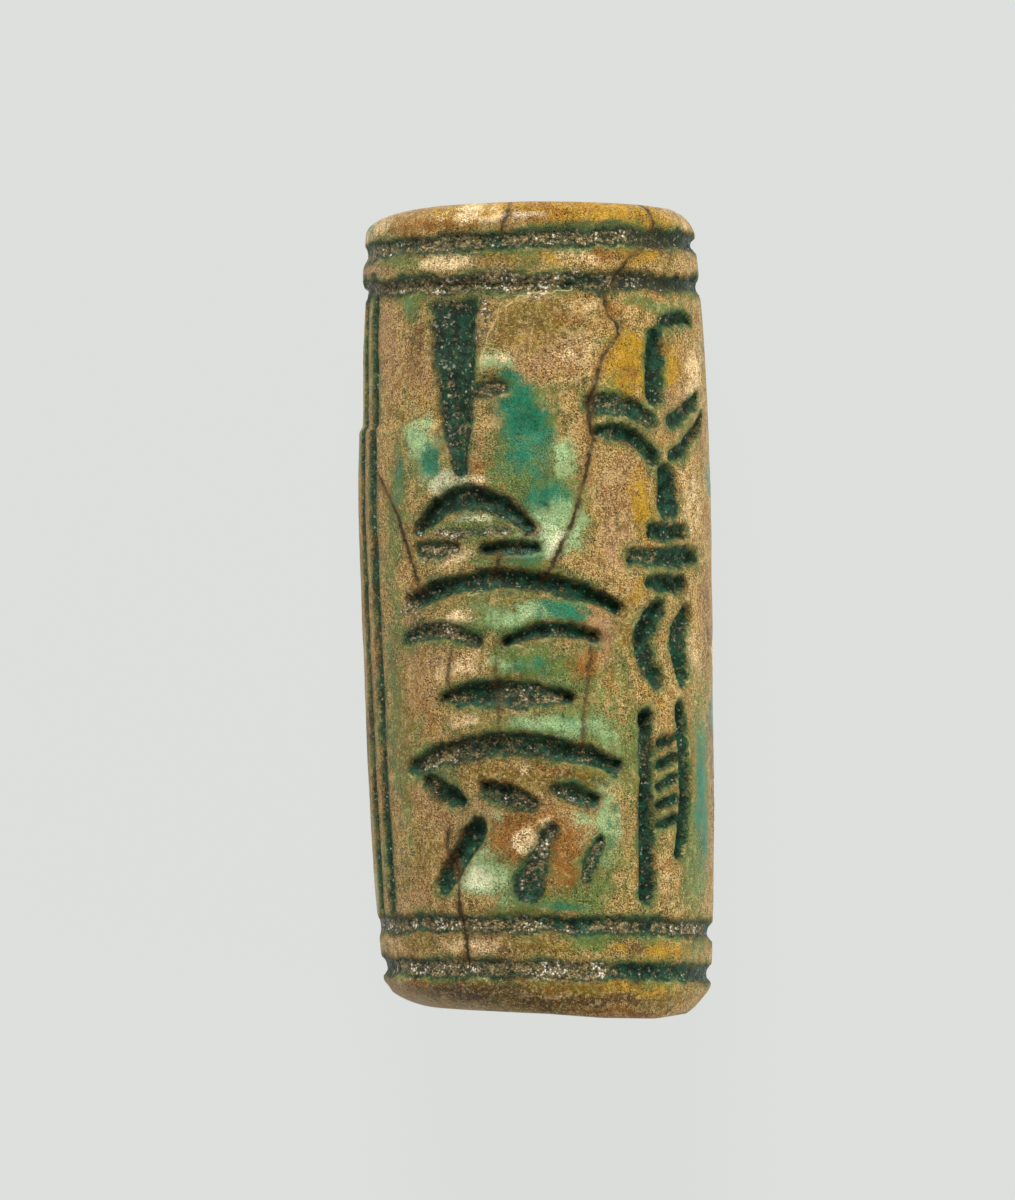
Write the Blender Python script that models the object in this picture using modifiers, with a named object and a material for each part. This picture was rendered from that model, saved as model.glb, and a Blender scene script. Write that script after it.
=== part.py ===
"""A carved cylinder bead of glazed stone, bored lengthwise for a cord and lying on a small flat.

The bead is designed upright: its bore runs along Z and its carved front faces -Y. An empty then lays it
down, so that the bore runs along Y, the front faces up and the flat rests at Z = 0. An angle round the
bead is 0 at the front and grows towards +X.
"""

import math
from collections import namedtuple

import bmesh
import bpy

MM = 0.001

# Turned body, with its belly above the middle
BEAD_LENGTH = 21.6 * MM
BELLY_RADIUS = 4.75 * MM
BELLY_SHARE = 0.62
HEAD_TAPER = 0.38 * MM
FOOT_TAPER = 0.42 * MM
EVEN_TAPER = 0.78

# Bore for the cord, with a small flare at each mouth
BORE_RADIUS = 1.30 * MM
MOUTH_FLARE = 0.28 * MM
MOUTH_DEPTH = 0.45 * MM

# Rounded ends: how far each rounding runs inwards, and how far along the bead
HEAD_ROUND_REACH = 0.62 * MM
HEAD_ROUND_RUN = 0.62 * MM
FOOT_ROUND_REACH = 0.58 * MM
FOOT_ROUND_RUN = 1.00 * MM

# Two ring grooves at each end: a narrow land, a ring, a band, and the second ring
RING_WIDTH = 0.42 * MM
RING_DEPTH = 0.14 * MM
RING_FLOOR_SHARE = 0.25
HEAD_LAND = 0.06 * MM
HEAD_BAND = 0.74 * MM
FOOT_LAND = 0.04 * MM
FOOT_BAND = 0.80 * MM

# The maker's unevenness: the foot stands off to one side and the middle bows the other way
FOOT_OFFSET = 0.31 * MM
BOW_OFFSET = 0.07 * MM

# Wear: both ends are rubbed rounder on one side, and a thin layer has flaked off there
WORN_ANGLE = -90.0
END_WEAR = 0.90 * MM
FLAKE_DEPTH = 0.08 * MM
FLAKE_ANGLES = (-106.0, -15.0)
FLAKE_EDGE_ANGLE = 5.0
FLAKE_FOOT_SHARE = 0.775
FLAKE_EDGE = 0.20 * MM

# The flat that keeps the bead from rolling, as a cut below its largest radius
FLAT_DEPTH = 0.32 * MM

# Carving
CUT_DEPTH = 0.20 * MM
BORDER_DEPTH = 0.12 * MM
BORDER_WIDTH = 0.38 * MM
BORDER_ANGLES = (-64.5, -75.0)
BORDER_LEAN = 4.5
HATCH_COUNT = 5
HATCH_PLACES = (0.158, 0.284)

# Facets and tolerances
TURNS = 54
SHARP_ANGLE = 35.0
ROUND_STEPS = 4
FIELD_STEPS = 6
FLAKE_STEPS = 3
CUTTER_STEP = 1.0 * MM
CUTTER_TURN = 25.0
CUTTER_RESOLUTION = 2
BROAD_GOUGE = 0.25 * MM
MERGE_DISTANCE = 0.01 * MM
WELD_DISTANCE = 0.001 * MM

# A stroke's round tip, as shares of its width past the end, its width and its depth
TIP_REACH = 0.35
TIP_WIDTH = 0.45
TIP_DEPTH = 0.35

# A stroke runs between two places on the carved field, each an angle in degrees and a share of the
# field's height from the foot. Its middle rises square to its run. It has a width at its start, middle
# and end. Rise and widths are shares of the belly radius, and its depth is a share of the cut depth.
Stroke = namedtuple("Stroke", "start end rise widths depth")

FRONT_COLUMN = (
    Stroke((-28, 0.962), (-25, 0.705), 0.0, (0.29, 0.22, 0.09), 1.0),
    Stroke((-19, 0.826), (-10, 0.832), 0.0, (0.08, 0.09, 0.05), 0.7),
    Stroke((-41, 0.612), (-2, 0.612), 0.17, (0.07, 0.13, 0.07), 1.1),
    Stroke((-42, 0.582), (-27, 0.580), 0.0, (0.05, 0.08, 0.05), 0.9),
    Stroke((-17, 0.579), (0, 0.583), 0.0, (0.05, 0.07, 0.05), 0.9),
    Stroke((-45, 0.499), (27, 0.492), 0.14, (0.09, 0.125, 0.07), 1.2),
    Stroke((-46, 0.441), (-20, 0.436), 0.05, (0.06, 0.085, 0.05), 0.8),
    Stroke((-11, 0.434), (19, 0.446), 0.05, (0.05, 0.08, 0.05), 1.0),
    Stroke((-33, 0.351), (10, 0.348), 0.02, (0.04, 0.15, 0.04), 1.1),
    Stroke((-46, 0.238), (25, 0.243), 0.13, (0.09, 0.125, 0.08), 1.2),
    Stroke((-41, 0.219), (-28, 0.190), 0.0, (0.06, 0.11, 0.08), 1.1),
    Stroke((-19, 0.209), (-4, 0.184), 0.0, (0.06, 0.12, 0.08), 1.1),
    Stroke((5, 0.207), (18, 0.188), 0.0, (0.06, 0.10, 0.06), 0.9),
    Stroke((-22, 0.147), (-36, 0.055), 0.0, (0.11, 0.12, 0.09), 1.2),
    Stroke((3, 0.145), (-6, 0.055), 0.0, (0.06, 0.11, 0.15), 0.8),
    Stroke((19, 0.130), (14, 0.070), 0.0, (0.05, 0.07, 0.06), 0.6),
)

SIDE_COLUMN = (
    Stroke((45, 0.918), (43.5, 0.826), 0.0, (0.10, 0.12, 0.12), 1.2),
    Stroke((49, 0.938), (66, 0.948), 0.02, (0.08, 0.06, 0.04), 0.9),
    Stroke((20, 0.808), (41, 0.786), 0.03, (0.11, 0.11, 0.08), 0.9),
    Stroke((51, 0.786), (69, 0.826), -0.01, (0.08, 0.08, 0.05), 0.9),
    Stroke((21, 0.764), (42, 0.727), 0.05, (0.06, 0.08, 0.08), 1.0),
    Stroke((52, 0.732), (73, 0.800), -0.02, (0.07, 0.07, 0.04), 0.9),
    Stroke((48, 0.700), (48.5, 0.655), 0.0, (0.13, 0.15, 0.16), 1.0),
    Stroke((41, 0.611), (56, 0.613), 0.0, (0.08, 0.09, 0.08), 1.0),
    Stroke((33, 0.571), (62, 0.574), 0.0, (0.08, 0.10, 0.09), 1.0),
    Stroke((40, 0.531), (56, 0.529), 0.0, (0.07, 0.09, 0.08), 1.0),
    Stroke((43, 0.492), (42, 0.380), -0.11, (0.09, 0.12, 0.09), 1.1),
    Stroke((57, 0.484), (56, 0.384), -0.07, (0.10, 0.13, 0.10), 1.1),
    Stroke((37, 0.322), (37, 0.042), 0.0, (0.08, 0.09, 0.10), 1.1),
    Stroke((53, 0.335), (53, 0.112), 0.05, (0.08, 0.10, 0.08), 1.1),
)

REAR_COLUMN = (
    Stroke((112, 0.950), (112, 0.845), 0.0, (0.08, 0.10, 0.09), 1.0),
    Stroke((100, 0.775), (124, 0.775), 0.0, (0.07, 0.09, 0.07), 1.0),
    Stroke((97, 0.620), (127, 0.620), 0.12, (0.06, 0.10, 0.06), 1.1),
    Stroke((119, 0.520), (105, 0.440), 0.0, (0.08, 0.09, 0.08), 1.0),
    Stroke((98, 0.335), (126, 0.335), -0.08, (0.06, 0.10, 0.06), 1.0),
    Stroke((104, 0.215), (100, 0.110), 0.0, (0.08, 0.09, 0.08), 1.0),
    Stroke((121, 0.215), (117, 0.110), 0.0, (0.08, 0.09, 0.08), 1.0),
)

FAR_COLUMN = (
    Stroke((-124, 0.950), (-123, 0.770), 0.0, (0.18, 0.13, 0.07), 1.0),
    Stroke((-141, 0.650), (-107, 0.650), 0.10, (0.06, 0.10, 0.06), 1.1),
    Stroke((-139, 0.545), (-109, 0.545), 0.0, (0.03, 0.12, 0.03), 1.0),
    Stroke((-134, 0.450), (-134, 0.345), 0.0, (0.08, 0.09, 0.08), 1.0),
    Stroke((-116, 0.450), (-116, 0.345), 0.0, (0.08, 0.09, 0.08), 1.0),
    Stroke((-141, 0.235), (-108, 0.235), -0.09, (0.06, 0.10, 0.06), 1.0),
    Stroke((-121, 0.140), (-131, 0.060), 0.0, (0.08, 0.09, 0.08), 1.0),
)


def hatching():
    """Short slanted strokes stacked between the two long strokes low in the side column."""
    lowest, highest = HATCH_PLACES
    strokes = []
    for row in range(HATCH_COUNT):
        place = lowest + (highest - lowest) * row / max(HATCH_COUNT - 1, 1)
        strokes.append(Stroke((42.5, place - 0.005), (50.5, place + 0.006), 0.0, (0.04, 0.05, 0.04), 0.6))
    return strokes


def clear_scene():
    for leftover in list(bpy.data.objects):
        bpy.data.objects.remove(leftover)


def new_collection(name):
    collection = bpy.data.collections.new(name)
    bpy.context.scene.collection.children.link(collection)
    return collection


def glazed_stone():
    """The worn glaze's overall tan green."""
    material = bpy.data.materials.new("glazed_stone")
    material.use_nodes = True
    shader = material.node_tree.nodes["Principled BSDF"]
    shader.inputs["Base Color"].default_value = (0.34, 0.27, 0.12, 1.0)
    shader.inputs["Roughness"].default_value = 0.35
    shader.inputs["Metallic"].default_value = 0.0
    return material


def ramp(value, start, full):
    """0 up to the start, 1 from the full value on, and a smooth rise between them."""
    share = min(max((value - start) / (full - start), 0.0), 1.0)
    return share * share * (3 - 2 * share)


def barrel_radius(height):
    """The sound body's radius at a height from its middle, before its ends are rounded."""
    belly = BEAD_LENGTH * (BELLY_SHARE - 0.5)
    if height > belly:
        away = (height - belly) / (BEAD_LENGTH / 2 - belly)
        taper = HEAD_TAPER
    else:
        away = (belly - height) / (BEAD_LENGTH / 2 + belly)
        taper = FOOT_TAPER
    return BELLY_RADIUS - taper * (EVEN_TAPER * away**2 + (1 - EVEN_TAPER) * away**6)


def axis_offset(height):
    """How far the body's centre stands to the side at a height from its middle."""
    share = height / (BEAD_LENGTH / 2)
    return -FOOT_OFFSET * share + BOW_OFFSET * share * share


def ring_heights():
    """The middles of the four ring grooves, from the head down."""
    half = BEAD_LENGTH / 2
    head = half - HEAD_ROUND_RUN - HEAD_LAND - RING_WIDTH / 2
    foot = FOOT_ROUND_RUN + FOOT_LAND + RING_WIDTH / 2 - half
    return head, head - RING_WIDTH - HEAD_BAND, foot + RING_WIDTH + FOOT_BAND, foot


def field_height(share):
    """The carved field runs between the inner ring grooves, from 0 at the foot to 1 at the head."""
    _, high, low, _ = ring_heights()
    return low + (high - low) * share


def flake_loss(angle, height):
    """The thin layer lost beside the border lines, from the inner head ring down to the flake's foot."""
    foot = field_height(FLAKE_FOOT_SHARE)
    first, last = FLAKE_ANGLES
    across = ramp(angle, first, first + FLAKE_EDGE_ANGLE) - ramp(angle, last - FLAKE_EDGE_ANGLE, last)
    along = ramp(height, foot - FLAKE_EDGE / 2, foot + FLAKE_EDGE / 2)
    below_ring = height < field_height(1.0)
    return FLAKE_DEPTH * across * along if below_ring else 0.0


def surface_radius(angle, height):
    return barrel_radius(height) - flake_loss(angle, height)


def end_wear(angle, height):
    """How much further an end's rounding runs inwards on the worn side."""
    run = HEAD_ROUND_RUN if height > 0 else FOOT_ROUND_RUN
    up = min(max((abs(height) - BEAD_LENGTH / 2 + run) / run, 0.0), 1.0)
    side = max(math.cos(math.radians(angle - WORN_ANGLE)), 0.0)
    return END_WEAR * side * (1 - math.sqrt(1 - up * up))


def ring_notch(height):
    """Four points of a ring groove, from its upper lip down to its lower one."""
    half = RING_WIDTH / 2
    floor = barrel_radius(height) - RING_DEPTH
    return [
        (barrel_radius(height + half), height + half),
        (floor, height + half * RING_FLOOR_SHARE),
        (floor, height - half * RING_FLOOR_SHARE),
        (barrel_radius(height - half), height - half),
    ]


def rounded_end(sign, reach, run):
    """Points of an end's rounding, from the barrel to the flat end face."""
    turn = BEAD_LENGTH / 2 - run
    edge = barrel_radius(sign * turn)
    points = []
    for step in range(ROUND_STEPS + 1):
        angle = math.pi / 2 * step / ROUND_STEPS
        points.append((edge - reach * (1 - math.cos(angle)), sign * (turn + run * math.sin(angle))))
    return points


def plain_barrel(high, low, steps):
    """Points of the barrel between two heights, without its two ends."""
    heights = [high + (low - high) * step / steps for step in range(1, steps)]
    return [(barrel_radius(height), height) for height in heights]


def bead_profile():
    """(radius, height) of the outline, down the outer side and back up the bore."""
    top = BEAD_LENGTH / 2
    mouth = BORE_RADIUS + MOUTH_FLARE
    rings = ring_heights()
    flake_foot = field_height(FLAKE_FOOT_SHARE)
    flake_edges = [flake_foot + FLAKE_EDGE / 2, flake_foot - FLAKE_EDGE / 2]
    outer = list(reversed(rounded_end(1, HEAD_ROUND_REACH, HEAD_ROUND_RUN)))
    outer += ring_notch(rings[0]) + ring_notch(rings[1])
    outer += plain_barrel(rings[1] - RING_WIDTH / 2, flake_edges[0], FLAKE_STEPS)
    outer += [(barrel_radius(height), height) for height in flake_edges]
    outer += plain_barrel(flake_edges[1], rings[2] + RING_WIDTH / 2, FIELD_STEPS)
    outer += ring_notch(rings[2]) + ring_notch(rings[3])
    outer += rounded_end(-1, FOOT_ROUND_REACH, FOOT_ROUND_RUN)
    bore = [(mouth, -top), (BORE_RADIUS, MOUTH_DEPTH - top), (BORE_RADIUS, top - MOUTH_DEPTH), (mouth, top)]
    return outer + bore


def evaluated_mesh(source, name):
    """The mesh that the object's modifiers or its curve give. The object itself is removed."""
    graph = bpy.context.evaluated_depsgraph_get()
    mesh = bpy.data.meshes.new_from_object(source.evaluated_get(graph))
    mesh.name = name
    bpy.data.objects.remove(source)
    return mesh


def spin(profile, collection):
    """The closed profile turned about the bore."""
    points = [(radius, 0.0, height) for radius, height in profile]
    edges = [(i, (i + 1) % len(points)) for i in range(len(points))]
    outline = bpy.data.meshes.new("bead_outline")
    outline.from_pydata(points, edges, [])
    spun = bpy.data.objects.new("bead_outline", outline)
    collection.objects.link(spun)
    screw = spun.modifiers.new("turning", "SCREW")
    screw.axis = "Z"
    screw.angle = math.tau
    screw.steps = TURNS
    screw.render_steps = TURNS
    screw.use_merge_vertices = True
    screw.merge_threshold = MERGE_DISTANCE
    return evaluated_mesh(spun, "cylinder_bead")


def wear_and_lean(mesh):
    """Takes the lost layer and the worn ends off the turned body, and sets it off its axis."""
    mouth = BORE_RADIUS + MOUTH_FLARE
    for vertex in mesh.vertices:
        x, y, height = vertex.co
        radius = math.hypot(x, y)
        if radius > mouth + MERGE_DISTANCE:
            angle = math.degrees(math.atan2(x, -y))
            worn = radius - flake_loss(angle, height) - end_wear(angle, height)
            vertex.co.x *= worn / radius
            vertex.co.y *= worn / radius
        vertex.co.x += axis_offset(height)


def turned_body(collection):
    mesh = spin(bead_profile(), collection)
    wear_and_lean(mesh)
    mesh.shade_smooth()
    mesh.set_sharp_from_angle(angle=math.radians(SHARP_ANGLE))
    bead = bpy.data.objects.new("cylinder_bead", mesh)
    collection.objects.link(bead)
    return bead


def over_surface(angle, share, lift):
    """A point over the carved field, at an angle round the bead and a share of the field's height."""
    height = field_height(share)
    reach = surface_radius(angle, height) + lift
    turn = math.radians(angle)
    return axis_offset(height) + reach * math.sin(turn), -reach * math.cos(turn), height


def gouge_radius(half_width, depth):
    """The radius of the round gouge that leaves a groove of this half width and depth."""
    return (half_width**2 + depth**2) / (2 * depth)


def stroke_run(stroke):
    """How far a stroke runs round the bead, how far along it, and its length."""
    round_by = math.radians(stroke.end[0] - stroke.start[0]) * BELLY_RADIUS
    along_by = field_height(stroke.end[1]) - field_height(stroke.start[1])
    return round_by, along_by, math.hypot(round_by, along_by)


def stroke_turn(stroke):
    """How many degrees a stroke turns through from its start to its end."""
    return math.degrees(8 * abs(stroke.rise) * BELLY_RADIUS / stroke_run(stroke)[2])


def stroke_middle(stroke):
    """The stroke's middle as an angle and a share, risen to the left of its run."""
    round_by, along_by, length = stroke_run(stroke)
    rise = stroke.rise * BELLY_RADIUS
    field = field_height(1.0) - field_height(0.0)
    angle = (stroke.start[0] + stroke.end[0]) / 2 - math.degrees(rise * along_by / length / BELLY_RADIUS)
    share = (stroke.start[1] + stroke.end[1]) / 2 + rise * round_by / length / field
    return angle, share


def three_point(values, along):
    """A smooth value through three given at the start, the middle and the end."""
    first, middle, last = values
    bend = middle * 2 - (first + last) / 2
    return (1 - along) ** 2 * first + 2 * along * (1 - along) * bend + along**2 * last


def stroke_path(stroke):
    """(place, gouge radius) pairs along a stroke, with a narrow shallow tip past each end."""
    middle = stroke_middle(stroke)
    length = stroke_run(stroke)[2]
    steps = max(2, round(length / CUTTER_STEP), round(stroke_turn(stroke) / CUTTER_TURN))
    first_tip = -TIP_REACH * stroke.widths[0] * BELLY_RADIUS / length
    last_tip = 1 + TIP_REACH * stroke.widths[2] * BELLY_RADIUS / length
    path = []
    for along in [first_tip, *(step / steps for step in range(steps + 1)), last_tip]:
        tip = along < 0 or along > 1
        width = three_point(stroke.widths, min(max(along, 0.0), 1.0)) * BELLY_RADIUS
        half = width / 2 * (TIP_WIDTH if tip else 1.0)
        depth = CUT_DEPTH * stroke.depth * (TIP_DEPTH if tip else 1.0)
        gouge = gouge_radius(half, depth)
        angle = three_point((stroke.start[0], middle[0], stroke.end[0]), along)
        share = three_point((stroke.start[1], middle[1], stroke.end[1]), along)
        path.append((over_surface(angle, share, gouge - depth), gouge))
    return path


def border_path(angle):
    """(place, gouge radius) pairs of an upright line from ring to ring, which leans near the head."""
    gouge = gouge_radius(BORDER_WIDTH / 2, BORDER_DEPTH)
    steps = FIELD_STEPS + FLAKE_STEPS
    path = []
    for step in range(steps + 1):
        share = step / steps
        leaning = angle - BORDER_LEAN * share**3
        path.append((over_surface(leaning, share, gouge - BORDER_DEPTH), gouge))
    return path


def weld_and_face_out(mesh):
    """Joins a tube's loose caps to it, with every face looking outwards."""
    shape = bmesh.new()
    shape.from_mesh(mesh)
    bmesh.ops.remove_doubles(shape, verts=shape.verts, dist=WELD_DISTANCE)
    bmesh.ops.recalc_face_normals(shape, faces=shape.faces)
    shape.to_mesh(mesh)
    shape.free()


def as_cutter(cutter, collection):
    for holder in list(cutter.users_collection):
        holder.objects.unlink(cutter)
    collection.objects.link(cutter)
    cutter.display_type = "WIRE"
    cutter.hide_render = True
    return cutter


def groove_cutter(name, path, collection):
    """A closed tube along (place, radius) pairs, which sinks one groove. A broad one has more sides."""
    broadest = max(radius for _, radius in path)
    curve = bpy.data.curves.new(name, "CURVE")
    curve.dimensions = "3D"
    curve.bevel_depth = 1.0
    curve.bevel_resolution = CUTTER_RESOLUTION + int(broadest / BROAD_GOUGE)
    curve.use_fill_caps = True
    spline = curve.splines.new("POLY")
    spline.points.add(len(path) - 1)
    for point, (place, radius) in zip(spline.points, path):
        point.co = (*place, 1.0)
        point.radius = radius
    tube = bpy.data.objects.new(name, curve)
    collection.objects.link(tube)
    mesh = evaluated_mesh(tube, name)
    weld_and_face_out(mesh)
    return as_cutter(bpy.data.objects.new(name, mesh), collection)


def flat_cutter(collection):
    """A block whose face takes the flat off the back of the bead."""
    size = BEAD_LENGTH * 1.5
    bpy.ops.mesh.primitive_cube_add(size=size, location=(0, BELLY_RADIUS - FLAT_DEPTH + size / 2, 0))
    block = bpy.context.object
    block.name = "flat_block"
    return as_cutter(block, collection)


def sideways_middle(bead):
    """The middle of the body's whole width, so that it can be centred over its flat."""
    across = [vertex.co.x for vertex in bead.data.vertices]
    return (min(across) + max(across)) / 2


def lay_down(bead, cutters):
    """Turns the upright bead onto its back: head towards +Y, front towards +Z, flat at Z = 0."""
    bore_axis = bpy.data.objects.new("bore_axis", None)
    bpy.context.scene.collection.objects.link(bore_axis)
    bore_axis.rotation_euler = (math.radians(-90), 0, 0)
    bore_axis.location = (-sideways_middle(bead), 0, BELLY_RADIUS - FLAT_DEPTH)
    for item in [bead, *cutters.objects]:
        item.parent = bore_axis


def carve(bead, cutters):
    """One cut by everything in the cutters' collection."""
    cut = bead.modifiers.new("carving", "BOOLEAN")
    cut.operation = "DIFFERENCE"
    cut.operand_type = "COLLECTION"
    cut.collection = cutters
    cut.solver = "EXACT"


def main():
    clear_scene()
    cutters = new_collection("cutters")
    bead = turned_body(new_collection("cylinder_bead"))
    bead.data.materials.append(glazed_stone())
    strokes = [*FRONT_COLUMN, *SIDE_COLUMN, *hatching(), *REAR_COLUMN, *FAR_COLUMN]
    for number, stroke in enumerate(strokes):
        groove_cutter(f"stroke_{number:02d}", stroke_path(stroke), cutters)
    for number, angle in enumerate(BORDER_ANGLES):
        groove_cutter(f"border_{number}", border_path(angle), cutters)
    flat_cutter(cutters)
    carve(bead, cutters)
    lay_down(bead, cutters)


if __name__ == "__main__":
    main()
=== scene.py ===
import math
from collections import namedtuple
from functools import cache

import bpy
import numpy as np
from bpy.props import FloatProperty, FloatVectorProperty, PointerProperty
from bpy.types import Operator, Panel, PropertyGroup
from mathutils import Matrix, Vector


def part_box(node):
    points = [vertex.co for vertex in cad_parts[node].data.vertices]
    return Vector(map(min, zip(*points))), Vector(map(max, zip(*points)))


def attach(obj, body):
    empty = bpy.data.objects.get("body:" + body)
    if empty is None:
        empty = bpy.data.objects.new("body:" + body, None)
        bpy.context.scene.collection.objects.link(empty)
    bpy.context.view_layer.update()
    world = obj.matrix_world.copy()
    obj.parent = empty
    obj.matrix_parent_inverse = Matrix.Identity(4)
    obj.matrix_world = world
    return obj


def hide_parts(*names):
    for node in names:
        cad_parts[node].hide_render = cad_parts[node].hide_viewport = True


bl_info = {
    "name": "Carved cylinder bead",
    "version": (1, 0),
    "blender": (4, 5, 0),
    "location": "View3D > Sidebar > Bead",
    "description": "Dresses the CAD frame of a cylinder bead with its carving, worn glaze and sand",
    "category": "Add Mesh",
}

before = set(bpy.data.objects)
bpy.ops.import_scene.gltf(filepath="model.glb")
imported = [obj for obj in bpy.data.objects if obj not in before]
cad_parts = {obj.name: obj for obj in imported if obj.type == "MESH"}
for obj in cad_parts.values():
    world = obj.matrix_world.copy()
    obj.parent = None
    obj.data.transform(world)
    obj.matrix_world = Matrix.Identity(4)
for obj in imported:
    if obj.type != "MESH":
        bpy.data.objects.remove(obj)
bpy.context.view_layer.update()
NODE_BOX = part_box("cylinder_bead")

MM = 0.001

# The turned body, with the same sizes as the CAD part
BELLY_SHARE = 0.62
HEAD_TAPER = 0.38 * MM
FOOT_TAPER = 0.42 * MM
EVEN_TAPER = 0.78
MOUTH_FLARE = 0.28 * MM
MOUTH_DEPTH = 0.45 * MM
HEAD_ROUND_REACH = 0.62 * MM
HEAD_ROUND_RUN = 0.62 * MM
FOOT_ROUND_REACH = 0.58 * MM
FOOT_ROUND_RUN = 1.00 * MM
HEAD_LAND = 0.06 * MM
HEAD_BAND = 0.74 * MM
FOOT_LAND = 0.04 * MM
FOOT_BAND = 0.80 * MM
FOOT_OFFSET = 0.31 * MM
BOW_OFFSET = 0.07 * MM
SIDE_SHIFT = 0.025 * MM
WORN_ANGLE = -90.0
END_WEAR = 0.90 * MM

# Carving
BORDER_ANGLES = (-64.5, -75.0)
BORDER_LEAN = 4.5
BORDER_NARROWING = 0.80
BORDER_WANDER_SHARE = 0.35
BORDER_FADE = 0.02
BORDER_SAND = 0.35
LINE_STEP = 0.03 * MM
EDGE_SOFTNESS = 0.035 * MM
EDGE_WANDER = 0.085 * MM
FLOOR_UNEVENNESS = 0.45
FAR_FROM_CUT = 0.6 * MM
SAND_EDGE = (-0.05 * MM, 0.02 * MM)
SWEPT_SHARE = 0.8
WIDE_END = 0.5 * MM
SQUARE_END = 0.06 * MM

# The lost layer's edge, as (angle, share of the carved field) from the head ring down and round
FLAKE_EDGE = (
    (16, 1.02), (12, 0.985), (-4, 0.977), (-11, 0.953), (-14.5, 0.923), (-16, 0.898), (-17, 0.874),
    (-16.5, 0.855), (-11, 0.844),
)
FLAKE_BACK = -106.0
FLAKE_FOOT_SHARE = 0.775
FLAKE_SOFTNESS = 0.06 * MM
FLAKE_BACK_FADE = 5.0
FLAKE_FOOT_FADE = 0.005
FLAKE_WANDER_ANGLE = 2.0
FLAKE_WANDER_SHARE = 0.006

# Where the lost layer's edge shows pale: the angles over which it starts, and the shares over which it
# starts at its foot and ends at its head
PALE_EDGE = ((-30, -22), (0.84, 0.86), (0.993, 0.987))

# Wear of the whole skin, and the sand that stands in the grooves
LIP_REACH = 0.09 * MM
LIP_WEAR = 0.014 * MM
SWELL_HEIGHT = 0.030 * MM
RIPPLE_HEIGHT = 0.010 * MM
PIT_RANGE = (0.45, 0.75)
PIT_DEPTH = 0.030 * MM
HEAP_LEVEL = 0.72
HEAP_RISE = 0.9
SMALL_HEAP_RISE = 0.45
CRUST_LEVEL = 0.6
CRUST_RISE = 0.8
SAND_FILL = 0.50
GRIT_RISE = 1.6

# Seeded unevenness: the size of its largest lumps, its seed, and how many sizes it mixes
UNEVEN_FLOOR = 0.35 * MM, 47, 3
STROKE_WANDERS = (0.45 * MM, 11, 4), (0.45 * MM, 23, 4)
RING_WANDER = 0.6 * MM, 31, 4
BORDER_WANDER = 0.8 * MM, 37, 4
CRACK_WANDERS = (0.22 * MM, 53, 3), (0.22 * MM, 59, 3)
FLAKE_WANDER = 0.5 * MM, 67, 4
SWELLS = 2.4 * MM, 71, 2
RIPPLES = 0.7 * MM, 73, 3
PITS = 0.35 * MM, 79, 2
HEAPS = 1.3 * MM, 81, 2
SMALL_HEAPS = 0.5 * MM, 83, 3
CRUST_LUMPS = 0.4 * MM, 89, 3
SAND_GRAINS = 0.16 * MM, 97, 2
PATCH_WANDERS = (0.9 * MM, 101, 4), (0.9 * MM, 103, 4)

# Mesh spacing: (from angle, to angle, step round the bead)
COLUMN_ZONES = (
    (-180, -144, 0.35 * MM),
    (-144, -104, 0.115 * MM),
    (-104, -92, 0.15 * MM),
    (-92, -58, 0.09 * MM),
    (-58, 78, 0.07 * MM),
    (78, 94, 0.13 * MM),
    (94, 130, 0.115 * MM),
    (130, 180, 0.35 * MM),
)
SIDE_STEP = 0.075 * MM
ROUND_STEP = 0.065 * MM
FACE_ROWS = 5
MOUTH_ROWS = 2
BORE_ROWS = 4
QUARTER_SHARE = 0.8
NEARLY_DOWN = 0.1
NOISE_CELLS = 64

# The surroundings are as bright as the floor up to the first height and dim from the second, as shares
# of the way from level to straight up
WALL_TOP = 0.18
CEILING_EDGE = 0.65

# The rest of the studio
FLOOR_REACH = 1.5
FLOOR_GLOW = 0.98
FLOOR_SHADE = 0.02
KEY_PLACE = (-0.05, 0.46, 0.36)
KEY_SIZE = 0.24
FILL_PLACE = (0.44, -0.03, 0.10)
FILL_SIZE = 0.22
SENSOR_WIDTH = 36
VIEW_WIDTH = 32.4 * MM
VIEW_MIDDLE = (-0.77 * MM, 0.36 * MM)
CLIP_RANGE = (0.01, 10)

# A stroke runs between two places, each an angle in degrees and a share of the carved field's height
# from the foot. Its middle rises square to its run. Rise and widths are shares of the belly radius, its
# depth is a share of the cut depth, and sand is how much of it is filled.
Stroke = namedtuple("Stroke", "start end rise widths depth sand")

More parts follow.
